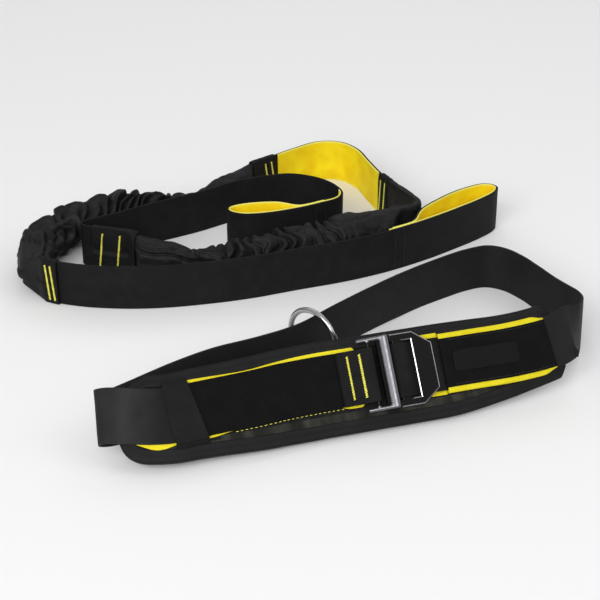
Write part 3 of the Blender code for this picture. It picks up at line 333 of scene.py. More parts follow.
class Line:
    """A line of stations with a width direction (wide) and a face direction (out) at each"""

    def __init__(self, spots, wides):
        self.spots = spots
        self.runs = [0.0]
        for a, b in zip(spots, spots[1:]):
            self.runs.append(self.runs[-1] + (b - a).length)
        self.length = self.runs[-1]
        self.wides, self.outs = [], []
        for i, wide in enumerate(wides):
            along = (self.step(max(i, 1)) + self.step(min(i + 1, len(spots) - 1))).normalized()
            self.wides.append((wide - along * wide.dot(along)).normalized())
            self.outs.append(along.cross(self.wides[i]))

    def step(self, i):
        return (self.spots[i] - self.spots[i - 1]).normalized()

    def split(self, run):
        """The station after a run, and the run's share of the step to it"""
        i = min(max(bisect.bisect_left(self.runs, run), 1), len(self.runs) - 1)
        return i, (run - self.runs[i - 1]) / (self.runs[i] - self.runs[i - 1])

    def corner(self, i, across, out):
        return self.spots[i] + self.wides[i] * across + self.outs[i] * out

    def place(self, run, across=0.0, out=0.0):
        i, share = self.split(run)
        return self.corner(i - 1, across, out).lerp(self.corner(i, across, out), share)

    def wide_at(self, run):
        i, share = self.split(run)
        return self.wides[i - 1].lerp(self.wides[i], clamp(share))

    def frame(self, run):
        """The place at a run, and the ways along, across and out of the face there"""
        along = self.step(self.split(run)[0])
        wide = self.wide_at(run)
        wide = (wide - along * wide.dot(along)).normalized()
        return self.place(run), along, wide, along.cross(wide)

    def nearest(self, spot):
        """The run whose place is nearest to a spot"""
        best = min(range(len(self.spots)), key=lambda i: (self.spots[i] - spot).length_squared)
        found = []
        for i in (max(best - 1, 0), min(best, len(self.spots) - 2)):
            a, b = self.spots[i], self.spots[i + 1]
            share = clamp((spot - a).dot(b - a) / (b - a).length_squared)
            found.append(((a.lerp(b, share) - spot).length, self.runs[i] + (b - a).length * share))
        return min(found)[1]


def floor_spot(shares):
    return set_base + Vector((shares[0] * tether_span, shares[1] * tether_span, webbing_width / 2))


def floor_line(rows):
    """A line of upright webbing that stands on the floor"""
    spots = [Vector((x, y, set_base.z + webbing_width / 2)) for x, y in smooth_rows(rows)]
    return Line(spots, [UP.copy() for spot in spots])


def floor_rows(shares):
    return [floor_spot(pair)[:2] for pair in shares]


def tether_line():
    return floor_line(floor_rows([
        *strap_1_shares, *cover_1_shares, *sleeve_1_shares, *cover_2_shares, *centre_strap_shares,
        *cover_3_shares, *sleeve_2_shares, *cover_4_shares, *strap_2_shares]))


def handle_line(tether, run_shares, tip_shares, joint_shares, joint_first):
    """The strap's own line: along the tether, round the tip and back to the joint"""
    joint = tether.nearest(floor_spot(joint_shares))
    stack = webbing_thickness + 2 * lining_thickness + 3 * seat_gap
    way = 1 if joint_first else -1
    places = [(joint_overlap, stack), (0, stack), (-joint_overlap, stack),
              (-2 * joint_overlap, stack + leg_opening)]
    seats = [tether.place(joint + way * distance, out=out)[:2] for distance, out in places]
    runs, tips = floor_rows(run_shares), floor_rows(tip_shares)
    return floor_line([*seats, *tips, *runs] if joint_first else [*runs, *tips, *reversed(seats)])


def pad_line():
    """The middle of the padded front, where the webbing lies, leaning back from the viewer"""
    rows = smooth_rows([(x * belt_span + set_base.x, y * belt_span + set_base.y, lean * pad_lean)
                        for x, y, lean in pad_shares])
    flat = Line([Vector((x, y, 0)) for x, y, lean in rows], [UP.copy() for row in rows])
    spots, wides = [], []
    for spot, left, (x, y, lean) in zip(flat.spots, flat.outs, rows):
        reach = (pad_below + binding_thickness + seat_gap) * math.cos(lean)
        spots.append(spot + UP * (set_base.z + reach + pad_stack * math.sin(lean)))
        wides.append(UP * math.cos(lean) - left * math.sin(lean))
    return Line(spots, wides)


class Bench:
    """A flat rigid place on the belt at the wrapped bar, for the steel pieces"""

    def __init__(self, line):
        self.spot, self.along, self.wide, self.out = line.frame(buckle_station)

    def place(self, along, across, out):
        return self.spot + self.along * along + self.wide * across + self.out * out

    def matrix(self):
        turn = Matrix((self.along, self.wide, self.out)).transposed()
        return Matrix.Translation(self.spot) @ turn.to_4x4()


def slot_route():
    """Up through the right slot, over the bridge, down the left slot and back under as a tail"""
    wall, level, over = webbing_thickness, adjuster_level, bridge_level
    right_slot = bridge_end + slot_width
    left_slot = bridge_start - slot_width / 2
    return [(plate_end + wall, level), (right_slot, level), (right_slot - wall, level + seat_gap),
            (bridge_end + wall / 2, over - seat_gap), (bridge_end - wall, over), (bridge_start + wall, over),
            (bridge_start - wall / 2, over - seat_gap), (left_slot, plate_low),
            (left_slot - wall / 3, level - seat_gap), (left_slot, wall / 3), (bridge_start - wall, 0),
            (bridge_end, 0), (plate_end - 4 * wall, 0)]


def station_row(line, run):
    return (*line.place(run), *line.wide_at(run))


def belt_line(line, bench):
    """The belt webbing from the tongue round the back to its tail inside the plate"""
    flex = buckle_station - tongue_length - seat_gap
    join = 10 * mm
    left = [station_row(line, flex * (1 - k / 30)) for k in range(31)]
    right = [station_row(line, line.length + (tunnel_mouth - line.length) * k / 20) for k in range(21)]
    low = webbing_width / 2
    back = []
    for x, y, rise, lean_x, lean_y in back_shares:
        upright = math.sqrt(1 - lean_x * lean_x - lean_y * lean_y)
        height = low + rise * (pad_middle - low) + set_base.z
        back.append((x * belt_span + set_base.x, y * belt_span + set_base.y, height, lean_x, lean_y, upright))
    slots = [(*bench.place(distance, 0, out), *bench.wide) for distance, out in slot_route()]
    rows = left[:-1] + smooth_rows([left[-1], *back, right[0]], station_row(line, join),
                                   station_row(line, line.length - join))
    rows += right[1:-1] + smooth_rows([right[-1], *slots], right[-2])
    return Line([Vector(row[:3]) for row in rows], [Vector(row[3:]) for row in rows])


class Sewn:
    """A cover on the tether: its flat end on a strap, its round end on a sleeve, and its seams"""

    def __init__(self, line, name, body, flat_shares, round_shares, rows, reach, face, lean):
        flat = line.nearest(floor_spot(flat_shares))
        round_end = line.nearest(floor_spot(round_shares))
        self.way = math.copysign(1, round_end - flat)
        self.flat = flat + self.way * station_shift
        self.round = round_end - self.way * station_shift
        self.length = abs(self.round - self.flat)
        self.name, self.body, self.rows, self.reach = name, body, rows, reach
        self.face, self.lean = face, lean
        self.tuck = self.from_flat(reach - sleeve_tuck)

    def from_flat(self, distance):
        return self.flat + self.way * distance

    def halves(self, run):
        """Half height, half thickness and squareness of the sewn end at a run"""
        cavity = sleeve_neck_length + crimp_length + 2 * seat_gap
        taper = min(self.length - cavity - cover_pocket_depth - cover_web, cover_taper)
        flat = ease(((self.round - run) * self.way - cavity) / taper)
        tall = cover_round_radius + (cover_tall / 2 - cover_round_radius) * flat
        thick = cover_round_radius + (cover_flat_thickness / 2 - cover_round_radius) * flat
        return tall, thick, 1 - 0.6 * flat


# Materials

def linear(code):
    """An sRGB hex colour as the linear colour that a shader takes"""
    parts = [int(code[k:k + 2], 16) / 255 for k in (1, 3, 5)]
    return (*(p / 12.92 if p <= 0.04045 else ((p + 0.055) / 1.055) ** 2.4 for p in parts), 1)


def fill(tree, socket, value):
    """Link a socket, or set it to a number or a hex colour"""
    if isinstance(value, bpy.types.NodeSocket):
        tree.links.new(value, socket)
    else:
        socket.default_value = linear(value) if isinstance(value, str) else value


def add(tree, kind, inputs, out=0, **settings):
    """A node with its settings, its inputs set or linked, and one of its outputs handed back"""
    node = configure(tree.nodes.new("ShaderNode" + kind), **settings)
    for name, value in inputs.items():
        fill(tree, node.inputs[name], value)
    return node.outputs[out]


def maths(tree, operation, *values):
    return add(tree, "Math", dict(enumerate(values)), operation=operation)


def remap(tree, *values):
    """A value carried from one range to another: value, from low and high, to low and high"""
    return add(tree, "MapRange", dict(enumerate(values)))


def grain(tree, place, size, detail, **more):
    """Soft noise whose features have a size"""
    return add(tree, "TexNoise", {"Vector": place, "Scale": 1 / size, "Detail": detail, **more})


def ramp(tree, share, dark, light, low=0.0, high=1.0):
    """A share as a colour between two, told apart from low to high"""
    node = tree.nodes.new("ShaderNodeValToRGB")
    for stop, code, spot in zip(node.color_ramp.elements, (dark, light), (low, high)):
        stop.color, stop.position = linear(code), spot
    fill(tree, node.inputs["Fac"], share)
    return node.outputs["Color"]


def mix(tree, share, first, second):
    """Blend of two colours by a share"""
    return add(tree, "Mix", {0: share, 6: first, 7: second}, 2, data_type="RGBA")


def waves(tree, place, u_step, v_step):
    """A sine wave across the cloth, given by its steps along and across; 0 leaves one out"""
    scale = (1 / u_step if u_step else 0, 1 / v_step if v_step else 0, 0)
    share = add(tree, "VectorMath", {0: place, 1: scale}, "Value", operation="DOT_PRODUCT")
    return maths(tree, "SINE", maths(tree, "MULTIPLY_ADD", share, 2 * math.pi, 0.0))


def flat_place(tree):
    """The place on the flat cloth in metres, kept in the piece's UV map"""
    return add(tree, "UVMap", {}, uv_map="flat")


def new_material(name, **finish):
    material = bpy.data.materials.new(name)
    material.use_nodes = True
    tree = material.node_tree
    for socket, value in finish.items():
        fill(tree, tree.nodes["Principled BSDF"].inputs[socket.replace("_", " ")], value)
    return material, tree


def surface(tree, colour, height, strength, depth, rough=None, **under):
    """Give a material its colour, its bump and, where it varies, its roughness"""
    inputs = tree.nodes["Principled BSDF"].inputs
    bump = add(tree, "Bump", {"Height": height, "Strength": strength, "Distance": depth, **under})
    for socket, value in (("Base Color", colour), ("Normal", bump), ("Roughness", rough)):
        if value is not None:
            fill(tree, inputs[socket], value)


def webbing_material(name, dark, light, rough, gloss, rib=1.4 * mm, pick=1.9 * mm, depth=0.25 * mm,
                     faded=None):
    """Woven nylon webbing: ribs along the strap crossed by slanting picks, drawn a little coarse"""
    material, tree = new_material(name, Roughness=rough, Specular_IOR_Level=gloss)
    place = flat_place(tree)
    weave = maths(tree, "ADD", waves(tree, place, 0, rib), waves(tree, place, pick, 2 * rib))
    share = maths(tree, "MULTIPLY_ADD", weave, 0.13, grain(tree, place, 18 * mm, 5.0))
    colour = ramp(tree, share, dark, light, 0.25, 0.78)
    if faded:
        fade = add(tree, "SeparateXYZ", {"Vector": add(tree, "UVMap", {}, uv_map="fade")})
        painted_shading = fade.node.outputs["Y"]
        colour = mix(tree, fade, colour, ramp(tree, share, *faded))
        # Painted highlight (#343435) and painted shade (#0b0b0b) bands, placed by the second coordinate of
        # the fade map
        colour = mix(tree, remap(tree, painted_shading, 0.5, 1.0, 0.0, 0.55), colour, "#343435")
        colour = mix(tree, remap(tree, painted_shading, 0.5, 0.0, 0.0, 0.85), colour, "#0b0b0b")
    surface(tree, colour, weave, 0.5, depth)
    return material


def lining_material(name, dark, light, edge):
    """Yellow webbing with a painted highlight along both edges"""
    material, tree = new_material(name, Roughness=0.62, Specular_IOR_Level=0.2)
    place = flat_place(tree)
    weave = waves(tree, place, 1.9 * mm, 2.8 * mm)
    across = maths(tree, "ABSOLUTE", add(tree, "SeparateXYZ", {"Vector": place}, "Y"))
    share = maths(tree, "MULTIPLY_ADD", weave, 0.12, grain(tree, place, 22 * mm, 5.0))
    # Painted highlight: the colour turns paler towards both edges of the lining
    near = remap(tree, across, lining_width / 2 - 2.2 * mm, lining_width / 2 - 0.8 * mm, 0.0, 1.0)
    surface(tree, mix(tree, near, ramp(tree, share, dark, light, 0.3, 0.72), edge), weave, 0.4, 0.2 * mm)
    return material


def cloth_material(name, dark, light, rough, gloss, thread, crease):
    """Plain woven cloth with fine thread and soft creases, painted darker in their hollows and lighter on
    their crests
    """
    material, tree = new_material(name, Roughness=rough, Specular_IOR_Level=gloss)
    place = flat_place(tree)
    weave = maths(tree, "MULTIPLY", waves(tree, place, thread, 0), waves(tree, place, 0, thread))
    folds = grain(tree, place, crease, 4.0, Distortion=0.6)
    soft = add(tree, "Bump", {"Height": folds, "Strength": 0.5, "Distance": 0.9 * mm})
    # The colour follows the crease noise: painted shade in the hollows, painted light on the crests
    surface(tree, ramp(tree, folds, dark, light, 0.3, 0.72), weave, 0.3, 0.12 * mm, Normal=soft)
    return material


def mesh_material(name, dark, light, hole, crease):
    """Knitted mesh: rows of small open cells, with painted shade in the creases across it"""
    material, tree = new_material(name, Roughness=0.7, Specular_IOR_Level=0.15)
    place = flat_place(tree)
    cells = add(tree, "TexVoronoi", {"Vector": place, "Scale": 1 / hole, "Randomness": 0.15}, "Distance")
    # Painted shade: noise stretched across the mesh darkens its colour in streaks where its creases are
    folds = add(tree, "VectorMath", {0: place, 1: (1 / crease, 0.25 / crease, 0)}, operation="MULTIPLY")
    share = maths(tree, "MULTIPLY_ADD", cells, 0.3, grain(tree, folds, 1, 3.0))
    surface(tree, ramp(tree, share, dark, light, 0.52, 0.78), cells, 0.6, 0.5 * mm)
    return material


def hard_material(name, colours, size, detail, rough, rise, strength, depth, uneven=0.5, **finish):
    """A material without a weave: fine noise gives its bump and gloss and blends two colours"""
    material, tree = new_material(name, **finish)
    speck = grain(tree, add(tree, "TexCoord", {}, "Object"), size, detail, Roughness=uneven)
    colour = ramp(tree, speck, *colours) if len(colours) > 1 else colours[0]
    gloss = remap(tree, speck, 0.3, 0.7, rough, rough + rise) if rise else rough
    surface(tree, colour, speck, strength, depth, gloss)
    return material


def thread_material(name, dark, light):
    """Bonded polyester thread: a slight shine and a twist along each stitch"""
    return hard_material(name, (dark, light, 0.35, 0.65), 1.2 * mm, 2.0, 0.5, 0, 0.5, 0.2 * mm,
                         Specular_IOR_Level=0.25)


def steel_material(name, colour, rough, painted_shading):
    """Steel: polished or zinc plated, with faint rubbing marks that change its gloss"""
    return hard_material(name, (colour,), 4 * mm, 6.0, rough, painted_shading, 0.12, 0.1 * mm, 0.7, Metallic=1.0)


def coated_material(name, dark, light, rough, size, gloss):
    """Black baked coat or moulded rubber: a fine even grain with soft highlights"""
    return hard_material(name, (dark, light), size, 3.0, rough - 0.06, 0.14, 0.25, 0.15 * mm,
                         Specular_IOR_Level=gloss)


# Each finish: the slot that it goes in, and its material
finishes = {
    # Nylon webbing, black: dull and deep, with a faint light on its ribs
    "webbing": ("black_webbing", webbing_material(
        "nylon_webbing_black", "#0c0c0d", "#19191a", 0.6, 0.14)),
    # The webbing on the pad is the blackest and smoothest
    "deep_webbing": ("black_webbing", webbing_material(
        "nylon_webbing_deep_black", "#080808", "#101010", 0.66, 0.09)),
    # The keeper shows a little greyer, ribbed across
    "keeper": ("black_webbing", webbing_material(
        "nylon_webbing_grey_black", "#0b0b0c", "#18181a", 0.6, 0.17, 2.2 * mm, 1.5 * mm, 0.4 * mm)),
    # The strap's free run beside the pad catches more light, and carries a painted shade band and a painted
    # highlight band at its bends
    "fading_webbing": ("black_webbing", webbing_material(
        "nylon_webbing_charcoal", "#161617", "#262627", 0.6, 0.2, faded=("#0f0f10", "#1c1c1d"))),
    # Nylon webbing, yellow, with a painted highlight along its edges: strong and even, darker between the
    # picks
    "yellow": ("yellow_webbing", lining_material("nylon_lining_yellow", "#ecc60a", "#fbe61c", "#f0e86c")),
    # The pad's yellow band is a little more lemon than the linings
    "lemon": ("yellow_webbing", webbing_material(
        "nylon_webbing_lemon_yellow", "#dcc80c", "#f2e52e", 0.6, 0.2)),
    # Nylon taffeta of the sleeves: thin and slightly shiny, painted lighter on the crests of its creases and
    # darker in their hollows
    "taffeta": ("black_sleeve", cloth_material(
        "nylon_taffeta_black", "#0e0e0f", "#19191a", 0.55, 0.2, 1.1 * mm, 16 * mm)),
    # Polyester cloth of the pad: dull
    "pad_cloth": ("pad_foam", cloth_material(
        "polyester_pad_cloth", "#0e0e0f", "#19191a", 0.7, 0.16, 1.3 * mm, 14 * mm)),
    # Stretch mesh along the pad's lower edge: thin, shows a warm grey
    "stretch_mesh": ("pad_foam", mesh_material(
        "stretch_mesh_black", "#1a1a17", "#3a3a34", 1.5 * mm, 13 * mm)),
    # Spacer mesh against the waist: dull, with larger open cells
    "spacer_mesh": ("pad_foam", mesh_material(
        "spacer_mesh_black", "#0d0d0e", "#242426", 3.2 * mm, 30 * mm)),
    # Binding tape: smooth, with fine ribs across its length
    "tape": ("pad_cloth", webbing_material(
        "grosgrain_tape_black", "#0c0c0d", "#161617", 0.62, 0.2, 5 * mm, 1.2 * mm, 0.15 * mm)),
    # Polyester thread: the bright rows of the seams, and black rows that hardly show
    "yellow_thread": ("yellow_thread", thread_material("polyester_thread_yellow", "#c4bb22", "#f2ec74")),
    "black_thread": ("black_thread", thread_material("polyester_thread_black", "#101011", "#2a2a2c")),
    # Polished steel: the ring and the plate's rubbed edges mirror the softboxes
    "steel": ("polished_steel", steel_material("polished_steel", "#b6b6ba", 0.15, 0.14)),
    # The frame is cast and tumbled, so it is a duller grey than the ring
    "cast_steel": ("polished_steel", steel_material("tumbled_cast_steel", "#6f6f73", 0.26, 0.18)),
    # Zinc plating of the hidden clamp rings: pale and soft
    "zinc": ("polished_steel", steel_material("zinc_plated_steel", "#b4b6ba", 0.3, 0.15)),
    # Baked coat on the plate: black and half matt
    "plate": ("black_plate", coated_material(
        "black_baked_coat_on_steel", "#070708", "#0e0e0f", 0.34, 1.2 * mm, 0.16)),
    # Moulded rubber of the bare badge: dull black
    "badge": ("pad_cloth", coated_material(
        "moulded_rubber_black", "#080809", "#101011", 0.5, 0.8 * mm, 0.12)),
    # Braided cover of the elastic cord: pale fibres, seen only where the cloth parts
    "latex": ("latex_cord", cloth_material(
        "braided_cord_cover", "#3a3630", "#8c8474", 0.7, 0.1, 2 * mm, 8 * mm)),
}


# Making pieces

def new_shape():
    shape = bmesh.new()
    shape.loops.layers.uv.new("flat")
    return shape


def keep_place(shape, scale=(1.0, 1.0)):
    """Keep each place on the flat cloth in the UV map"""
    layer = shape.loops.layers.uv.verify()
    for face in shape.faces:
        for loop in face.loops:
            loop[layer].uv = (loop.vert.co.x * scale[0], loop.vert.co.y * scale[1])


def flat_strip(length, width, long_steps, wide_steps):
    """A grid of cloth lying flat from zero along X, with its place kept in a UV map in metres"""
    shape = new_shape()
    bmesh.ops.create_grid(shape, x_segments=long_steps, y_segments=wide_steps, size=1, calc_uvs=True)
    bmesh.ops.translate(shape, vec=(1, 0, 0), verts=shape.verts)
    bmesh.ops.scale(shape, vec=(length / 2, width / 2, 1), verts=shape.verts)
    keep_place(shape)
    return shape


def shape_sides(shape, sides, start=0.0):
    """Give a strip of half width 1 its own reach below and above its middle"""
    for vert in shape.verts:
        lower, upper = sides(start + vert.co.x)
        vert.co.y *= lower if vert.co.y < 0 else upper


def tube(length, step, around, scale, place):
    """Cloth rolled into an open tube: place gives the spot for a distance and a turn"""
    shape = flat_strip(length, 2 * math.pi * mm, round(length / step), around)
    keep_place(shape, scale)
    for vert in shape.verts:
        vert.co = place(vert.co.x, vert.co.y / mm)
    bmesh.ops.remove_doubles(shape, verts=shape.verts, dist=weld)
    return shape


def lay(shape, line, start, out=0.0):
    """Lay a flat pattern (x along, y across, z outwards) on a line, with the slow unevenness of cloth"""
    for vert in shape.verts:
        x, y, z = vert.co
        rise = ripple_depth * wander((start + x) / (38 * mm), y / (30 * mm), 0)
        vert.co = line.place(start + x, y, out + z + rise)


def mesh_of(name, shape):
    mesh = bpy.data.meshes.new(name)
    shape.to_mesh(mesh)
    shape.free()
    return mesh


def put(name, data):
    made = bpy.data.objects.new(name, data)
    bpy.context.scene.collection.objects.link(made)
    return made


def modify(made, kind, **settings):
    return configure(made.modifiers.new(kind.lower(), kind), **settings)


def piece(name, shape, finish, body, nodes="", smooth=True):
    """A mesh in its place, with its finishes, riding on its body in place of its CAD nodes"""
    bmesh.ops.recalc_face_normals(shape, faces=shape.faces)
    mesh = mesh_of(name, shape)
    if smooth:
        mesh.shade_smooth()
    for key in finish.split():
        mesh.materials.append(finishes[key][1])
    made = put(name, mesh)
    finishes[finish.split()[0]][0]
    if nodes:
        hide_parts(*nodes.split())
    if body:
        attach(made, body)
    return made


def thicken(made, thickness, edge):
    """Give cloth its thickness and round its cut edges"""
    modify(made, "SOLIDIFY", thickness=thickness, offset=0, use_even_offset=True)
    modify(made, "BEVEL", width=edge, segments=3, limit_method="ANGLE", angle_limit=math.radians(50))


def strap(name, line, ends, body, node, finish="webbing", size=(webbing_width, webbing_thickness), out=0.0,
          change=None):
    """A strap along a line; at the run of a change its second finish begins, and fades over its length"""
    start, end = sorted(ends)
    shape = flat_strip(end - start, size[0], max(4, round((end - start) / strap_step)), 10)
    if change:
        for vert in shape.verts:
            past = start + vert.co.x - change
            vert.co.z += sum(rise * bell(past, spot, wide) for spot, wide, rise in strap_bends)
        fade = shape.loops.layers.uv.new("fade")
        for face in shape.faces:
            face.material_index = 1 if start + face.calc_center_median().x > change else 0
            for loop in face.loops:
                past = start + loop.vert.co.x - change
                # Painted light and shade bands along the strap, kept in the second coordinate of the fade map
                painted_shading = sum(share * bell(past, spot, wide) for spot, wide, share in strap_painted_shading)
                loop[fade].uv = (ease(past / fade_length), 0.5 + 0.5 * painted_shading)
    lay(shape, line, start, out)
    thicken(piece(name, shape, finish, body, node), size[1], min(0.35 * size[1], 0.7 * mm))


def add_stitch(shape, rounds, spot, turn, size):
    """One stitch: a small rounded bar"""
    made = bmesh.ops.create_uvsphere(shape, u_segments=rounds, v_segments=rounds - 2, radius=0.5)["verts"]
    move = Matrix.Translation(spot) @ Matrix.Rotation(turn, 4, "Z") @ Matrix.Diagonal((*size, 1))
    bmesh.ops.transform(shape, matrix=move, verts=made)


def stitch_row(name, line, places, out, thread, body, node="", stitch=satin_stitch):
    """Separate stitches along a row between two (run, across) places"""
    (run_a, across_a), (run_b, across_b) = places
    pitch, length, thickness, zigzag = stitch
    count = max(1, round(math.hypot(run_b - run_a, across_b - across_a) / pitch))
    slope = math.atan2(across_b - across_a, run_b - run_a)
    shape = new_shape()
    for k in range(count):
        share = (k + 0.5) / count
        turn = slope + zigzag * (-1) ** k + math.radians(6) * math.sin(2.3 * k)
        spot = (run_a + (run_b - run_a) * share, across_a + (across_b - across_a) * share, 0)
        add_stitch(shape, 8, spot, turn, (length, thickness, 0.62 * thickness))
    keep_place(shape)
    lay(shape, line, 0, out)
    piece(name, shape, thread, body, node)


def seam(run, lean=0.0):
    """The two ends of a stitch row across a strap"""
    return [(run - lean, -seam_reach), (run + lean, seam_reach)]


def table_at(table, share):
    """Values of a table of rows at a share, eased between the rows"""
    for low, high in zip(table, table[1:]):
        if share <= high[0]:
            u = ease((share - low[0]) / (high[0] - low[0]))
            return [a + (b - a) * u for a, b in zip(low[1:], high[1:])]
    return list(table[-1][1:])


# The tether

def make_sleeve(number, line, first, second, table, seed):
    """Taffeta bunched on the bungee: rings that wander and merge, and pleats into the covers"""
    length = abs(second.tuck - first.tuck)
    way = math.copysign(1, second.tuck - first.tuck)

    def place(distance, turn):
        return sleeve_place(line, first, second, first.tuck + way * distance, turn, table, seed)

    shape = tube(length, sleeve_step, 96, (cloth_gather, sleeve_girth_scale), place)
    sleeve = piece(f"sleeve_cloth_{number}", shape, "taffeta", None, f"sleeve_{number}")
    modify(sleeve, "SOLIDIFY", thickness=sleeve_wall, offset=-1)
    return sleeve


def sleeve_place(line, first, second, run, turn, table, seed):
    """A point of the gathered cloth, at a run along the bungee and a turn round it"""
    share = (run - first.round) / (second.round - first.round)
    radius, ring, pleat = (size * mm for size in table_at(table, share))
    tall = thick = radius
    square = 1.0
    seat = [sewn for sewn in (first, second) if (run - sewn.flat) * sewn.way < sewn.length]
    if seat:
        tall, thick, square = seat[0].halves(run)
        fade = clamp((run - seat[0].flat) * seat[0].way / seat[0].length)
        tall += (radius - cover_round_radius) * fade
        thick += (radius - cover_round_radius) * fade
        ring, pleat = ring * fade, pleat * (0.35 + 0.65 * fade)
    side = Vector((math.cos(turn), math.sin(turn)))
    depth = ring_fold(run, side, seed)
    fold = depth * ring
    run += 0.28 * ring * (1 - depth)
    twist = 3 * wander(1.2 * side.x, 1.2 * side.y, run / (26 * mm))
    crease = pleat * (1 - abs(math.sin(3.5 * turn + twist)) ** 0.8)
    lump = 3.2 * mm * wander(run / (30 * mm), side.x * 0.8 + seed, side.y * 0.8) * min(ring / (4 * mm), 1)
    across = squared(side.y, square) * (tall - fold - crease + lump)
    out = squared(side.x, square) * (thick - (fold + crease - lump) * min(thick / tall, 1))
    spot = line.place(run, across, out)
    spot.z = max(spot.z - sag(first, second, run, radius), 0.5 * mm + 0.3 * mm * side.x ** 2)
    return spot


def sag(first, second, run, radius):
    """How far a sleeve of a radius sinks to rest on the floor, where it lies free of its covers"""
    free = (run - first.round) * (run - second.round) <= 0
    reach = min(abs(run - first.round), abs(run - second.round)) / (35 * mm)
    return max(webbing_width / 2 - radius - 0.8 * mm, 0) * ease(reach) if free else 0.0


def ring_fold(run, side, seed):
    """Depth of the gathers, from 0 on a crest to 1 in a valley; each fold has a height of its own"""
    drift = wander(run / (34 * mm), side.x * 0.8 + seed, side.y * 0.8)
    slant = wander(run / (70 * mm), seed, 3.3) * side.x * 1.5
    phase = run / gather_pitch + 1.9 * drift + slant + 0.7 * wander(run / (21 * mm), seed, 8.1)
    number = math.floor(phase)
    crest = math.sin(math.pi * (phase - number)) ** 0.72
    height = 0.78 + 0.75 * wander(number * 2.7, side.x * 0.9 + seed, side.y * 0.9)
    small = abs(math.sin(math.pi * (2.3 * phase + 1.4 * side.y))) ** 0.7
    fine = wander(run / (5 * mm), side.x * 2, side.y * 2 + seed)
    return min(max(1 - crest * height * (0.86 + 0.14 * small) + 0.07 * fine, 0), 1.1)


def make_cover(line, sewn):
    """Webbing folded round the strap and the sleeve's end, pressed flat where it is sewn"""
    def place(distance, turn):
        run = sewn.from_flat(distance)
        tall, thick, square = sewn.halves(run)
        pinch = sum(bell(distance, row, 2.2 * mm) for row in sewn.rows)
        hem = bell(distance, 0, 1.6 * mm) + 0.8 * bell(distance, sewn.reach, 1.2 * mm)
        wave = 0.5 * wander(run / (14 * mm), math.cos(turn) * 1.4, math.sin(turn) * 1.4)
        grow = (0.9 - 0.9 * pinch - 0.7 * hem + wave) * mm
        spot = line.place(run, squared(math.sin(turn), square) * (tall + 0.4 * mm * (1 - hem)),
                          squared(math.cos(turn), square) * (thick + grow))
        spot.z = max(spot.z, 0.3 * mm)
        return spot

    shape = tube(sewn.reach, cover_step, 64, (1, cover_girth_scale), place)
    modify(piece(f"{sewn.name}_webbing", shape, "webbing", sewn.body, sewn.name), "SOLIDIFY",
           thickness=cover_wall, offset=-1)
    for k, row in enumerate(sewn.rows):
        run = sewn.from_flat(row)
        out = sewn.face * (sewn.halves(run)[1] + 0.45 * mm)
        stitch_row(f"{sewn.name}_thread_{k + 1}", line, seam(run, sewn.way * sewn.lean), out, "yellow_thread",
                   sewn.body, f"{sewn.name}_stitches_{k + 1}")


def make_bungee(number, line, first, second, table):
    """Braided elastic cord, seen only where the cloth parts"""
    deep = sleeve_neck_length + crimp_length + seat_gap
    start, end = (sewn.round - sewn.way * deep for sewn in (first, second))
    steps = 90
    path = []
    for k in range(steps + 1):
        run = start + (end - start) * k / steps
        radius = table_at(table, (run - first.round) / (second.round - first.round))[0] * mm
        path.append(line.place(run) - UP * sag(first, second, run, radius))
    curve = configure(bpy.data.curves.new(f"bungee_cord_{number}", "CURVE"), dimensions="3D",
                      twist_mode="Z_UP", bevel_depth=bungee_diameter / 2, bevel_resolution=6,
                      use_fill_caps=True)
    spline = curve.splines.new("POLY")
    spline.points.add(steps)
    for point, spot in zip(spline.points, path):
        point.co = (*spot, 1)
    guide = put("guide", curve)
    shape = bmesh.new()
    shape.from_mesh(result_of(guide))
    bpy.data.objects.remove(guide, do_unlink=True)
    bmesh.ops.remove_doubles(shape, verts=shape.verts, dist=0.01 * mm)
    shape.loops.layers.uv.new("flat")
    keep_place(shape)
    cord = piece(f"bungee_cord_{number}", shape, "latex", None, f"bungee_{number}")
    return cord


# Each cover: name, body, flat and round end, its rows of thread and its reach from the flat end,
# the side that its thread shows on, and the lean of the rows
cover_table = [
    ("end_cover_1", "handle_1", strap_1_shares[-1], cover_1_shares[-1], (5 * mm, 10.5 * mm), 17 * mm, -1,
     1.6 * mm),
    ("centre_cover_1", "tether", cover_2_shares[-1], sleeve_1_shares[-1], (5 * mm, 14 * mm), 34 * mm, 1,
     3 * mm),
    ("centre_cover_2", "tether", centre_strap_shares[-1], sleeve_2_shares[0], (5 * mm, 14 * mm), 21 * mm, 1,
     1.5 * mm),
    ("end_cover_2", "handle_2", cover_4_shares[-1], sleeve_2_shares[-1], (11 * mm, 31 * mm), 52 * mm, -1,
     2.6 * mm)]


def make_tether():
    tether = tether_line()
    covers = [Sewn(tether, *row) for row in cover_table]
    for sewn in covers:
        make_cover(tether, sewn)
    runs = [(covers[0], covers[1], sleeve_1_table), (covers[2], covers[3], sleeve_2_table)]
    sleeves = [make_sleeve(k + 1, tether, *run, seed) for k, (run, seed) in enumerate(zip(runs, (1.7, 6.1)))]
    cords = [make_bungee(k + 1, tether, *run) for k, run in enumerate(runs)]
    for k, (centre, end) in enumerate(((covers[1], covers[0]), (covers[2], covers[3]))):
        for made in (sleeves[k], cords[k]):
            tether.place(centre.round)
            tether.place(end.round)
            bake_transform(made)
    left, right = covers[1], covers[2]
    strap("centre_strap_webbing", tether, (left.from_flat(pocket_reach), right.from_flat(pocket_reach)),
          "tether", "centre_strap")
    strap("centre_lining_webbing", tether, (left.from_flat(-4 * mm), right.from_flat(-4 * mm)), "tether",
          "centre_lining", "yellow", lining_size, lining_level)
    make_handle(1, tether, covers[0], [*strap_1_shares, *cover_1_shares], strap_1_tip_shares,
                handle_1_joint_shares, True)
    make_handle(2, tether, covers[3], [cover_4_shares[-1], *strap_2_shares], strap_2_tip_shares,
                handle_2_joint_shares, False)


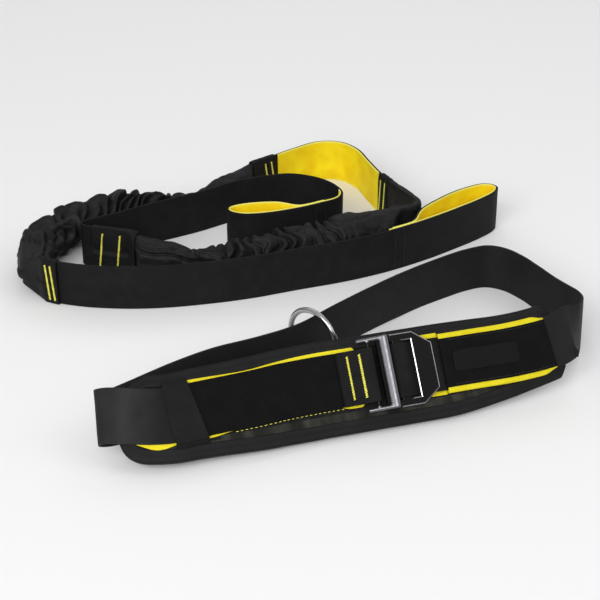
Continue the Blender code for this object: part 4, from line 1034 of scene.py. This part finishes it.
def make_handle(number, tether, sewn, run_shares, tip_shares, joint_shares, joint_first):
    """A strap looped back and sewn to itself, lined with yellow inside the loop"""
    path = handle_line(tether, run_shares, tip_shares, joint_shares, joint_first)
    pocket = path.nearest(tether.place(sewn.from_flat(pocket_reach)))
    joint = path.nearest(floor_spot(joint_shares))
    strap(f"handle_{number}_webbing", path, (pocket, 0 if joint_first else path.length), sewn.body,
          f"handle_strap_{number}")
    far = joint_overlap / 2
    span = (joint - lining_past_joint[1], path.length - far)
    if joint_first:
        span = (far, joint + lining_past_joint[0])
    strap(f"handle_{number}_lining", path, span, sewn.body, f"handle_lining_{number}", "yellow",
          lining_size, lining_level)
    for k, distance in enumerate((-6 * mm, 6 * mm)):
        stitch_row(f"handle_{number}_thread_{k + 1}", path, seam(joint + distance),
                   -webbing_thickness / 2 - 0.5 * mm, "black_thread", sewn.body,
                   f"handle_{number}_stitches_{k + 1}", handle_stitch)


# The padded belt

def pad_half(x, start, half):
    """Half height of the pad on one side of its middle, at a distance from its left end"""
    tall = start + (half - start) * ease((x - pad_corner) / pad_left_taper)
    tall += (pad_tip_half - half) * ease((x - (pad_length - pad_taper - tip_corner)) / pad_taper)
    tall -= max(x - (pad_length - tip_corner), 0)
    if x < pad_corner:
        tall = start - pad_corner + math.sqrt(pad_corner ** 2 - (pad_corner - x) ** 2)
    return tall


def pad_sides(x):
    return pad_half(x, pad_below_left, pad_below), pad_half(x, pad_above, pad_above)


def pad_thickness(edge):
    """Full inside the pad, pressed thin under the tape at its edge"""
    return (pad_front - pad_back) * (0.72 + 0.28 * ease(edge / tape_width))


def make_waist_pad(line):
    """Foam between cloth and spacer mesh, swollen by a cloth simulation between its seams"""
    shape = flat_strip(pad_length, 2, 160, 26)
    shape_sides(shape, pad_sides)
    bmesh.ops.solidify(shape, geom=shape.faces[:], thickness=pad_front - pad_back)
    levels = [vert.co.z for vert in shape.verts]
    middle = (max(levels) + min(levels)) / 2
    keep_place(shape)
    for face in shape.faces:
        centre = face.calc_center_median()
        face.material_index = (1 if centre.y < -band_width / 2 else 0) if centre.z > middle else 2
    pins = []
    for vert in shape.verts:
        x, y, z = vert.co
        lower, upper = pad_sides(x)
        edge = min(x, pad_length - x, upper - y, lower + y)
        held = edge < tape_width - 2 * mm or abs(abs(y) - band_width / 2) < 2 * mm
        pins.append(1.0 if held or (z > middle and abs(y) < band_width / 2 + 1 * mm) else 0.0)
        vert.co.z = pad_level + math.copysign(0.5 * pad_thickness(edge), z - middle)
    lay(shape, line, 0)
    pad = piece("waist_pad", shape, "pad_cloth stretch_mesh spacer_mesh", "belt",
                "pad_foam pad_outer_cloth pad_inner_mesh")
    swell(pad, pins)
    crease_mesh_strip(pad, line)
    modify(pad, "SUBSURF", levels=1, render_levels=1)


def swell(pad, pins):
    """Run cloth with a little pressure inside, then keep each point within the cap of its start"""
    before = [vert.co.copy() for vert in pad.data.vertices]
    group = pad.vertex_groups.new(name="sewn")
    for index, weight in enumerate(pins):
        group.add([index], weight, "REPLACE")
    cloth = modify(pad, "CLOTH")
    configure(cloth.settings, quality=6, mass=0.3, vertex_group_mass="sewn", use_pressure=True,
              uniform_pressure_force=4)
    cloth.settings.effector_weights.gravity = 0
    cloth.collision_settings.use_collision = False
    scene = bpy.context.scene
    for number in range(1, 21):
        scene.frame_set(number)
    graph = bpy.context.evaluated_depsgraph_get()
    swollen = [vert.co.copy() for vert in pad.evaluated_get(graph).data.vertices]
    pad.modifiers.remove(cloth)
    scene.frame_set(1)
    pad.vertex_groups.clear()
    for vert, old, new in zip(pad.data.vertices, before, swollen):
        move = new - old
        vert.co = old + move * min(1, swell_cap / max(move.length, 1e-9))


def crease_mesh_strip(pad, line):
    """Short creases across the thin mesh below the webbing"""
    layer = pad.data.uv_layers["flat"].data
    places = {loop.vertex_index: layer[loop.index].uv.copy() for loop in pad.data.loops}
    for vert in pad.data.vertices:
        x, y = places[vert.index]
        strip = ease((-y - band_width / 2) / (2 * mm)) * ease((pad_sides(x)[0] + y - tape_width) / (2 * mm))
        if strip > 0:
            crease = abs(wander(x / (17 * mm), y / (25 * mm), 4.2))
            vert.co += line.frame(x)[3] * ((0.8 - 4.2 * crease) * mm * strip)


def outline_line():
    """The pad's edge as a closed line on the flat pattern, its outward side to the out direction"""
    steps = [pad_corner * (1 - math.cos(math.pi / 2 * k / 12)) for k in range(12)]
    steps += [pad_corner + (pad_length - tip_corner - pad_corner) * k / 90 for k in range(91)]
    steps.append(pad_length)
    lower = [Vector((x, -pad_sides(x)[0], 0)) for x in steps]
    upper = [Vector((x, pad_sides(x)[1], 0)) for x in steps]
    spots = lower + upper[::-1] + lower[:1]
    return Line(spots, [UP.copy() for spot in spots])


def make_binding(line):
    """Grosgrain tape folded over the pad's edge and stitched down"""
    edge_line = outline_line()
    length = edge_line.length
    shape = flat_strip(length, 2 * (tape_width + tape_turn), round(length / (3 * mm)), 28)
    for vert in shape.verts:
        run, reach = vert.co.x, vert.co.y
        inset = max(abs(reach) - tape_turn, 0)
        turn = min(abs(reach) / tape_turn, 1) * math.pi / 2
        height = math.copysign((0.5 * pad_thickness(inset) + tape_wall) * math.sin(turn), reach)
        wave = 0.25 * mm * wander(run / (11 * mm), reach / (9 * mm), 0.4)
        spot = edge_line.place(run, 0, tape_bulge * math.cos(turn) - inset)
        vert.co = Vector((spot.x, spot.y, pad_level + height + wave))
    bmesh.ops.remove_doubles(shape, verts=shape.verts, dist=0.02 * mm)
    lay(shape, line, 0)
    tape = piece("pad_edge_tape", shape, "tape", "belt", "pad_edge_binding")
    modify(tape, "SOLIDIFY", thickness=tape_wall, offset=0)
    thread = new_shape()
    count = round(length / tape_stitch_pitch)
    for k in range(count):
        run = length * (k + 0.5) / count
        along = edge_line.frame(run)[1]
        spot = edge_line.place(run, 0, 1.6 * mm - tape_width)
        add_stitch(thread, 6, (spot.x, spot.y, pad_front + 0.85 * mm), math.atan2(along.y, along.x),
                   tape_stitch_size)
    keep_place(thread)
    lay(thread, line, 0)
    piece("pad_edge_thread", thread, "black_thread", "belt")


def band_sides(x):
    """How far the yellow shows below and above the webbing, along the left half of the pad"""
    hidden = webbing_width / 2 - 1 * mm
    peak = band_width / 2 + 1.8 * mm
    diamond = ease(1 - abs((x - diamond_station) / diamond_half))
    shown = ease((x - keeper_station) / (10 * mm))
    joined = ease((x - plate_to) / (5 * mm))
    shown *= 1 - ease((x - plate_from) / (5 * mm)) * (1 - joined)
    thin = ease((x - thin_start) / (35 * mm)) * (1 - ease((x - thin_end) / (16 * mm)))
    narrow = bell(x, thin_start + 45 * mm, 38 * mm)
    stripe = (band_width / 2 + 0.5 * mm - hidden) * (0.66 if x < plate_to else 1.0)
    lower = hidden + (peak - hidden) * diamond + stripe * shown * (1 - thin)
    upper = hidden + (band_width / 2 + 0.6 * mm - hidden) * shown * (1 - 0.5 * narrow)
    return lower, upper + 1.1 * mm * joined


def make_bands(line):
    """Yellow band under the left webbing, yellow tunnel over the right webbing, black panel on it"""
    half = webbing_thickness / 2
    level = -half - seat_gap - band_thickness / 2
    start = diamond_station - diamond_half
    length = tunnel_mouth - layer_gap - start
    shape = flat_strip(length, 2, round(length / strap_step), 24)
    shape_sides(shape, band_sides, start)
    keep_place(shape)
    for face in shape.faces:
        inner = max(abs(vert.co.y) for vert in face.verts) < webbing_width / 2 - 0.6 * mm
        face.material_index = 1 if inner else 0
    lay(shape, line, start, level)
    thicken(piece("yellow_band_webbing", shape, "lemon webbing", "belt", "yellow_band"), band_thickness,
            0.4 * mm)
    across = -(webbing_width / 2 + 1.3 * mm)
    stitch_row("band_thread", line, [(thin_start + 24 * mm, across), (thin_end + 8 * mm, across)],
               level + band_thickness / 2 + 0.3 * mm, "yellow_thread", "belt", "", band_stitch)

    length = tunnel_end - tunnel_mouth

    def place(distance, turn):
        point = 1 - 0.12 * ease((distance - length + 14 * mm) / (14 * mm))
        return Vector((distance, squared(math.sin(turn), 0.35) * band_width / 2 * point,
                       squared(math.cos(turn), 0.35) * (half + seat_gap + band_thickness)))

    shape = tube(length, strap_step, 48, (1, cover_girth_scale), place)
    lay(shape, line, tunnel_mouth)
    tunnel = piece("yellow_tunnel_webbing", shape, "lemon", "belt", "yellow_tunnel")
    modify(tunnel, "SOLIDIFY", thickness=tunnel_wall, offset=-1)
    level = half + 2 * seat_gap + band_thickness + panel_thickness / 2
    strap("tunnel_panel_webbing", line, (tunnel_mouth - 0.8 * mm, tunnel_end - 0.5 * mm), "belt",
          "tunnel_panel", "deep_webbing", (panel_width + 1 * mm, panel_thickness), level)
    for k, way in enumerate((-1, 1)):
        across = way * (panel_width / 2 - 1.6 * mm)
        places = [(tunnel_start + 3 * mm, across), (tunnel_end - 3 * mm, across)]
        stitch_row(f"panel_thread_{k + 1}", line, places, level + panel_thickness / 2 + 0.2 * mm,
                   "black_thread", "belt", "", panel_stitch)
    return level + panel_thickness / 2


def make_badge(line, level):
    """A bare moulded patch with a raised rim, sewn on the panel"""
    tall = badge_height / 2
    shape = flat_strip(badge_length, badge_height, 26, 8)
    for vert in shape.verts:
        gap = min(vert.co.x, badge_length - vert.co.x)
        if gap < badge_corner:
            drop = math.sqrt(max(badge_corner ** 2 - (badge_corner - gap) ** 2, 0))
            vert.co.y *= (tall - badge_corner + drop) / tall
    bmesh.ops.solidify(shape, geom=shape.faces[:], thickness=badge_thickness)
    low = min(vert.co.z for vert in shape.verts)
    keep_place(shape)
    for vert in shape.verts:
        x, y, z = vert.co
        edge = min(x, badge_length - x, tall - abs(y))
        rim = 0.45 * mm * bell(edge, 1.2 * mm, 0.9 * mm) if z > low + badge_thickness / 2 else 0
        vert.co = line.place(badge_station - badge_length / 2 + x, y, level + seat_gap + z - low + rim)
    badge = piece("blank_badge", shape, "badge", "belt", "badge_patch")
    modify(badge, "BEVEL", width=0.3 * mm, segments=2, angle_limit=math.radians(50))


def make_keeper(line):
    """A woven loop across the webbing, sewn down above and below it"""
    shape = flat_strip(keeper_width, keeper_height, 12, 34)
    roof = webbing_thickness / 2 + seat_gap + keeper_thickness / 2
    floor = -webbing_thickness / 2 - seat_gap - band_thickness / 2
    for vert in shape.verts:
        x, y, z = vert.co
        drop = ease((abs(y) - webbing_width / 2 - 0.5 * mm) / (4 * mm))
        vert.co = (x - y * keeper_slant, y, roof + (floor + keeper_thickness / 2 - roof) * drop)
    lay(shape, line, keeper_station - keeper_width / 2)
    thicken(piece("keeper_webbing", shape, "keeper", "belt", "keeper_loop"), keeper_thickness, 0.5 * mm)
    for k, way in enumerate((-1, 1)):
        across = way * (keeper_height / 2 - 2 * mm)
        start = keeper_station - keeper_width / 2 - across * keeper_slant
        places = [(start + 2 * mm, across), (start + keeper_width - 2 * mm, across)]
        stitch_row(f"keeper_thread_{k + 1}", line, places, floor + keeper_thickness + 0.3 * mm,
                   "black_thread", "belt", f"keeper_stitches_{k + 1}", keeper_stitch)


# The buckle and the ring

def make_tongue(bench):
    """The webbing end folded back round the frame's wrapped bar and sewn to itself"""
    radius = wrapped_bar / 2 + seat_gap + webbing_thickness / 2
    upper = webbing_thickness + seat_gap
    lower_shares = [(-1.0, 0.0), (-0.72, 0.0), (-0.48, 0.06), (-0.22, 0.52)]
    upper_shares = [(-0.22, 0.76), (-0.42, 0.36), (-0.62, 0.06), (-0.8, 0.0), (-0.98, 0.0)]
    route = [(share * tongue_length, out * radius) for share, out in lower_shares]
    for k in range(6):
        turn = math.pi * 0.45 * (2 * k / 5 - 1)
        route.append((radius * math.cos(turn), wrapped_level + radius * math.sin(turn)))
    route += [(share * tongue_length, upper + out * (wrapped_level + radius - upper))
              for share, out in upper_shares]
    spots = [Vector(row) for row in smooth_rows([bench.place(distance, 0, out) for distance, out in route])]
    path = Line(spots, [bench.wide.copy() for spot in spots])
    strap("tongue_fold", path, (0, path.length), "buckle_tongue", "tongue_webbing")
    for k, row in enumerate((9.5 * mm, 21.5 * mm)):
        stitch_row(f"tongue_thread_{k + 1}", path, seam(path.length - row), -webbing_thickness / 2 - 0.5 * mm,
                   "yellow_thread", "buckle_tongue", f"tongue_stitches_{k + 1}")


def add_bar(shape, ends, radius):
    """A round bar with rounded ends"""
    a, b = ends
    place = Matrix.Translation((a + b) / 2) @ (b - a).to_track_quat("Z", "Y").to_matrix().to_4x4()
    bmesh.ops.create_cone(shape, cap_ends=True, segments=32, radius1=radius, radius2=radius,
                          depth=(b - a).length, matrix=place)
    for end in ends:
        bmesh.ops.create_uvsphere(shape, u_segments=24, v_segments=16, radius=radius,
                                  matrix=Matrix.Translation(end))


def result_of(made):
    """The mesh that an object's modifiers or its curve give"""
    graph = bpy.context.evaluated_depsgraph_get()
    return bpy.data.meshes.new_from_object(made.evaluated_get(graph))


def keep_result(made):
    mesh = result_of(made)
    made.modifiers.clear()
    made.data = mesh


def make_frame(bench):
    """Cast steel frame: hook bar with a sloped top, wrapped bar and two side rails, fused and polished; the
    wrapped bar between the rails is painted black as shade
    """
    side = (frame_height - frame_rail) / 2
    shape = new_shape()
    bmesh.ops.create_cube(shape, size=1)
    bmesh.ops.scale(shape, vec=(frame_bar + 0.8 * mm, frame_height, frame_bar - 0.6 * mm), verts=shape.verts)
    bmesh.ops.bisect_plane(shape, geom=shape.verts[:] + shape.edges[:] + shape.faces[:],
                           plane_co=(bar_ridge, 0, 0), plane_no=(1, 0, 0))
    for vert in shape.verts:
        if vert.co.x < 0 < vert.co.z:
            vert.co.z -= bar_slope_drop
    bmesh.ops.bevel(shape, geom=shape.edges[:], offset=0.9 * mm, affect="EDGES", segments=2, profile=0.5,
                    material=-1)
    bmesh.ops.translate(shape, vec=(bar_gap, 0, hook_level), verts=shape.verts)
    bmesh.ops.transform(shape, matrix=bench.matrix(), verts=shape.verts)
    add_bar(shape, [bench.place(0, across, wrapped_level) for across in (-side, side)], wrapped_bar / 2)
    for across in (-side, side):
        ends = [bench.place(-frame_toe, across, frame_toe_level), bench.place(bar_gap, across, hook_level)]
        add_bar(shape, ends, frame_rail / 2)
    made = piece("steel_frame", shape, "cast_steel plate", "buckle_tongue", "buckle_frame")
    modify(made, "REMESH", mode="VOXEL", voxel_size=cast_grain, use_smooth_shade=True)
    modify(made, "SMOOTH", factor=0.5, iterations=8)
    keep_result(made)
    home = bench.matrix().inverted()
    # Painted shade: the wrapped bar between the rails takes the plate's black coat, so it shows dark like the
    # shadow beside the tongue
    for face in made.data.polygons:
        spot = home @ face.center
        wrapped = spot.x < bar_gap - frame_bar / 2 - 1.5 * mm and abs(spot.y) < side - 0.6 * frame_rail
        face.material_index = 1 if wrapped else 0


def slab(low, high):
    """A loose block that cuts a slot or is joined on"""
    shape = bmesh.new()
    bmesh.ops.create_cube(shape, size=1)
    size = [b - a for a, b in zip(low, high)]
    middle = [(a + b) / 2 for a, b in zip(low, high)]
    place = Matrix.Translation(middle) @ Matrix.Diagonal((*size, 1))
    bmesh.ops.transform(shape, matrix=place, verts=shape.verts)
    return put("slab", mesh_of("slab", shape))


def make_plate(bench):
    """Stamped steel plate, coated black, its edges rubbed bright"""
    half = plate_height / 2
    tab = frame_height / 2 - frame_rail - buckle_clearance
    corner = half - plate_chamfer * chamfer_share
    outline = [(plate_start, -tab), (shoulder, -tab), (shoulder, -half), (plate_end - plate_chamfer, -half),
               (plate_end, -corner), (plate_end, corner), (plate_end - plate_chamfer, half),
               (shoulder, half), (shoulder, tab), (plate_start, tab)]
    shape = new_shape()
    shape.faces.new([shape.verts.new((x, y, plate_low)) for x, y in outline])
    raised = bmesh.ops.extrude_face_region(shape, geom=shape.faces[:])["geom"]
    bmesh.ops.translate(shape, vec=(0, 0, plate_thickness),
                        verts=[item for item in raised if isinstance(item, bmesh.types.BMVert)])
    plate = piece("coated_plate", shape, "plate steel", "buckle_hook", "buckle_plate", False)
    inset = half - frame_rail - 2 * buckle_clearance
    cutters = [(slab((x, -slot_height / 2, plate_low - 2 * mm), (x + slot_width, slot_height / 2,
                                                                 plate_top + 2 * mm)), "DIFFERENCE")
               for x in (bridge_start - slot_width, bridge_end)]
    cutters.append((slab((plate_start - 0.2 * mm, -inset, plate_low + 1 * mm),
                         (plate_start + lip_thickness, inset, plate_top + hook_lip)), "UNION"))
    for cutter, way in cutters:
        modify(plate, "BOOLEAN", operation=way, object=cutter)
    keep_result(plate)
    for cutter, way in cutters:
        bpy.data.objects.remove(cutter, do_unlink=True)
    rub_edges(plate)
    plate.data.transform(bench.matrix())


def rub_edges(plate):
    """Round the plate's outer edges and slots; what isn't flat shows bare steel"""
    shape = bmesh.new()
    shape.from_mesh(plate.data)
    rims = []
    for edge in shape.edges:
        flats = [abs(face.normal.z) > 0.9 for face in edge.link_faces]
        high = all(vert.co.z > plate_top - 0.1 * mm and vert.co.x > plate_start + 7 * mm
                   for vert in edge.verts)
        if high and len(flats) == 2 and flats[0] != flats[1]:
            rims.append(edge)
    bmesh.ops.bevel(shape, geom=rims, offset=rubbed_edge, affect="EDGES", segments=2,
                    profile=0.5, material=-1, clamp_overlap=False)
    shape.normal_update()
    for face in shape.faces:
        spot = face.calc_center_median()
        in_slot = abs(spot.y) < slot_height / 2 + 2 * mm
        seen = spot.x > (bridge_end + 0.45 * slot_width if in_slot else shoulder + 2 * mm)
        face.material_index = 1 if seen and abs(face.normal.z) < 0.97 else 0
        face.smooth = False
    shape.to_mesh(plate.data)
    shape.free()


def make_ring():
    """A welded and polished steel ring on the strap"""
    shape = new_shape()
    middle = Matrix.Translation(((ring_outer - ring_wire) / 2, 0, 0))
    bmesh.ops.create_circle(shape, segments=24, radius=ring_wire / 2,
                            matrix=middle @ Matrix.Rotation(math.pi / 2, 4, "X"))
    bmesh.ops.spin(shape, geom=shape.verts[:] + shape.edges[:], cent=(0, 0, 0), axis=(0, 0, 1),
                   angle=2 * math.pi, steps=96, use_merge=True)
    bmesh.ops.remove_doubles(shape, verts=shape.verts, dist=0.02 * mm)
    turn = Matrix((UP, ring_strap_way.cross(UP), ring_strap_way)).transposed().to_4x4()
    bmesh.ops.transform(shape, matrix=Matrix.Translation(ring_spot) @ turn, verts=shape.verts)
    piece("steel_ring", shape, "steel", "ring", "belt_ring")


def make_belt():
    line = pad_line()
    bench = Bench(line)
    path = belt_line(line, bench)
    make_waist_pad(line)
    make_binding(line)
    make_badge(line, make_bands(line))
    make_keeper(line)
    split = path.nearest(line.place(tunnel_start + adjuster_reach))
    strap("belt_strap", path, (0, split - seat_gap / 2), "belt", "belt_webbing",
          "deep_webbing fading_webbing", change=path.nearest(line.place(keeper_station)))
    strap("adjuster_strap", path, (split + seat_gap / 2, path.length), "buckle_hook", "adjuster_webbing")
    make_tongue(bench)
    make_frame(bench)
    make_plate(bench)
    make_ring()


# The studio

def make_floor():
    """A pale matt floor that keeps the shadows and runs into the grey behind"""
    shape = bmesh.new()
    bmesh.ops.create_grid(shape, x_segments=1, y_segments=1, size=6)
    bmesh.ops.translate(shape, vec=(0, 0, -0.1 * mm), verts=shape.verts)
    floor = put("studio_floor", mesh_of("studio_floor", shape))
    floor.data.materials.append(new_material("pale_studio_floor", Base_Color="#efefef", Roughness=0.9,
                                             Specular_IOR_Level=0.1)[0])


def make_world():
    """Soft white from above that falls off to grey at the horizon"""
    world = bpy.data.worlds.new("studio")
    bpy.context.scene.world = world
    world.use_nodes = True
    tree = world.node_tree
    height = add(tree, "SeparateXYZ", {"Vector": add(tree, "TexCoord", {})}, "Z")
    inputs = tree.nodes["Background"].inputs
    fill(tree, inputs["Color"], ramp(tree, height, "#8c8c90", "#ffffff", 0, 0.6))
    fill(tree, inputs["Strength"], world_strength)


def add_softbox(name, place, target, size, power):
    lamp = configure(bpy.data.lights.new(name, "AREA"), shape="RECTANGLE", size=size[0], size_y=size[1],
                     energy=power)
    turn = (Vector(target) - Vector(place)).to_track_quat("-Z", "Y")
    configure(put(name, lamp), location=place, rotation_mode="QUATERNION", rotation_quaternion=turn)


def make_camera():
    """The set seen 30 degrees from above, 1.6 m away"""
    lens = configure(bpy.data.cameras.new("camera"), lens=camera_lens, sensor_width=36)
    bpy.context.scene.camera = configure(put("camera", lens), location=camera_place,
                                         rotation_euler=(math.pi / 2 - camera_down, 0, 0))


def finish_hidden_nodes():
    """The clamp rings inside the covers keep their CAD shape"""
    for name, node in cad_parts.items():
        if name.startswith("crimp"):
            node.data.materials.clear()
            node.data.materials.append(finishes["zinc"][1])


make_tether()
make_belt()
finish_hidden_nodes()
make_floor()
make_world()
add_softbox("key_softbox", (-1.1, -3.3, 2.4), (0, 0, 0), (3.4, 2.2), key_power)
add_softbox("fill_softbox", (1.8, -0.6, 1.5), (0, 0, 0), (1.4, 1.4), fill_power)
add_softbox("back_softbox", (0.2, 1.6, 1.6), (0, 0, 0), (2.0, 0.8), back_power)
make_camera()
bpy.context.scene.view_settings.view_transform = "Standard"
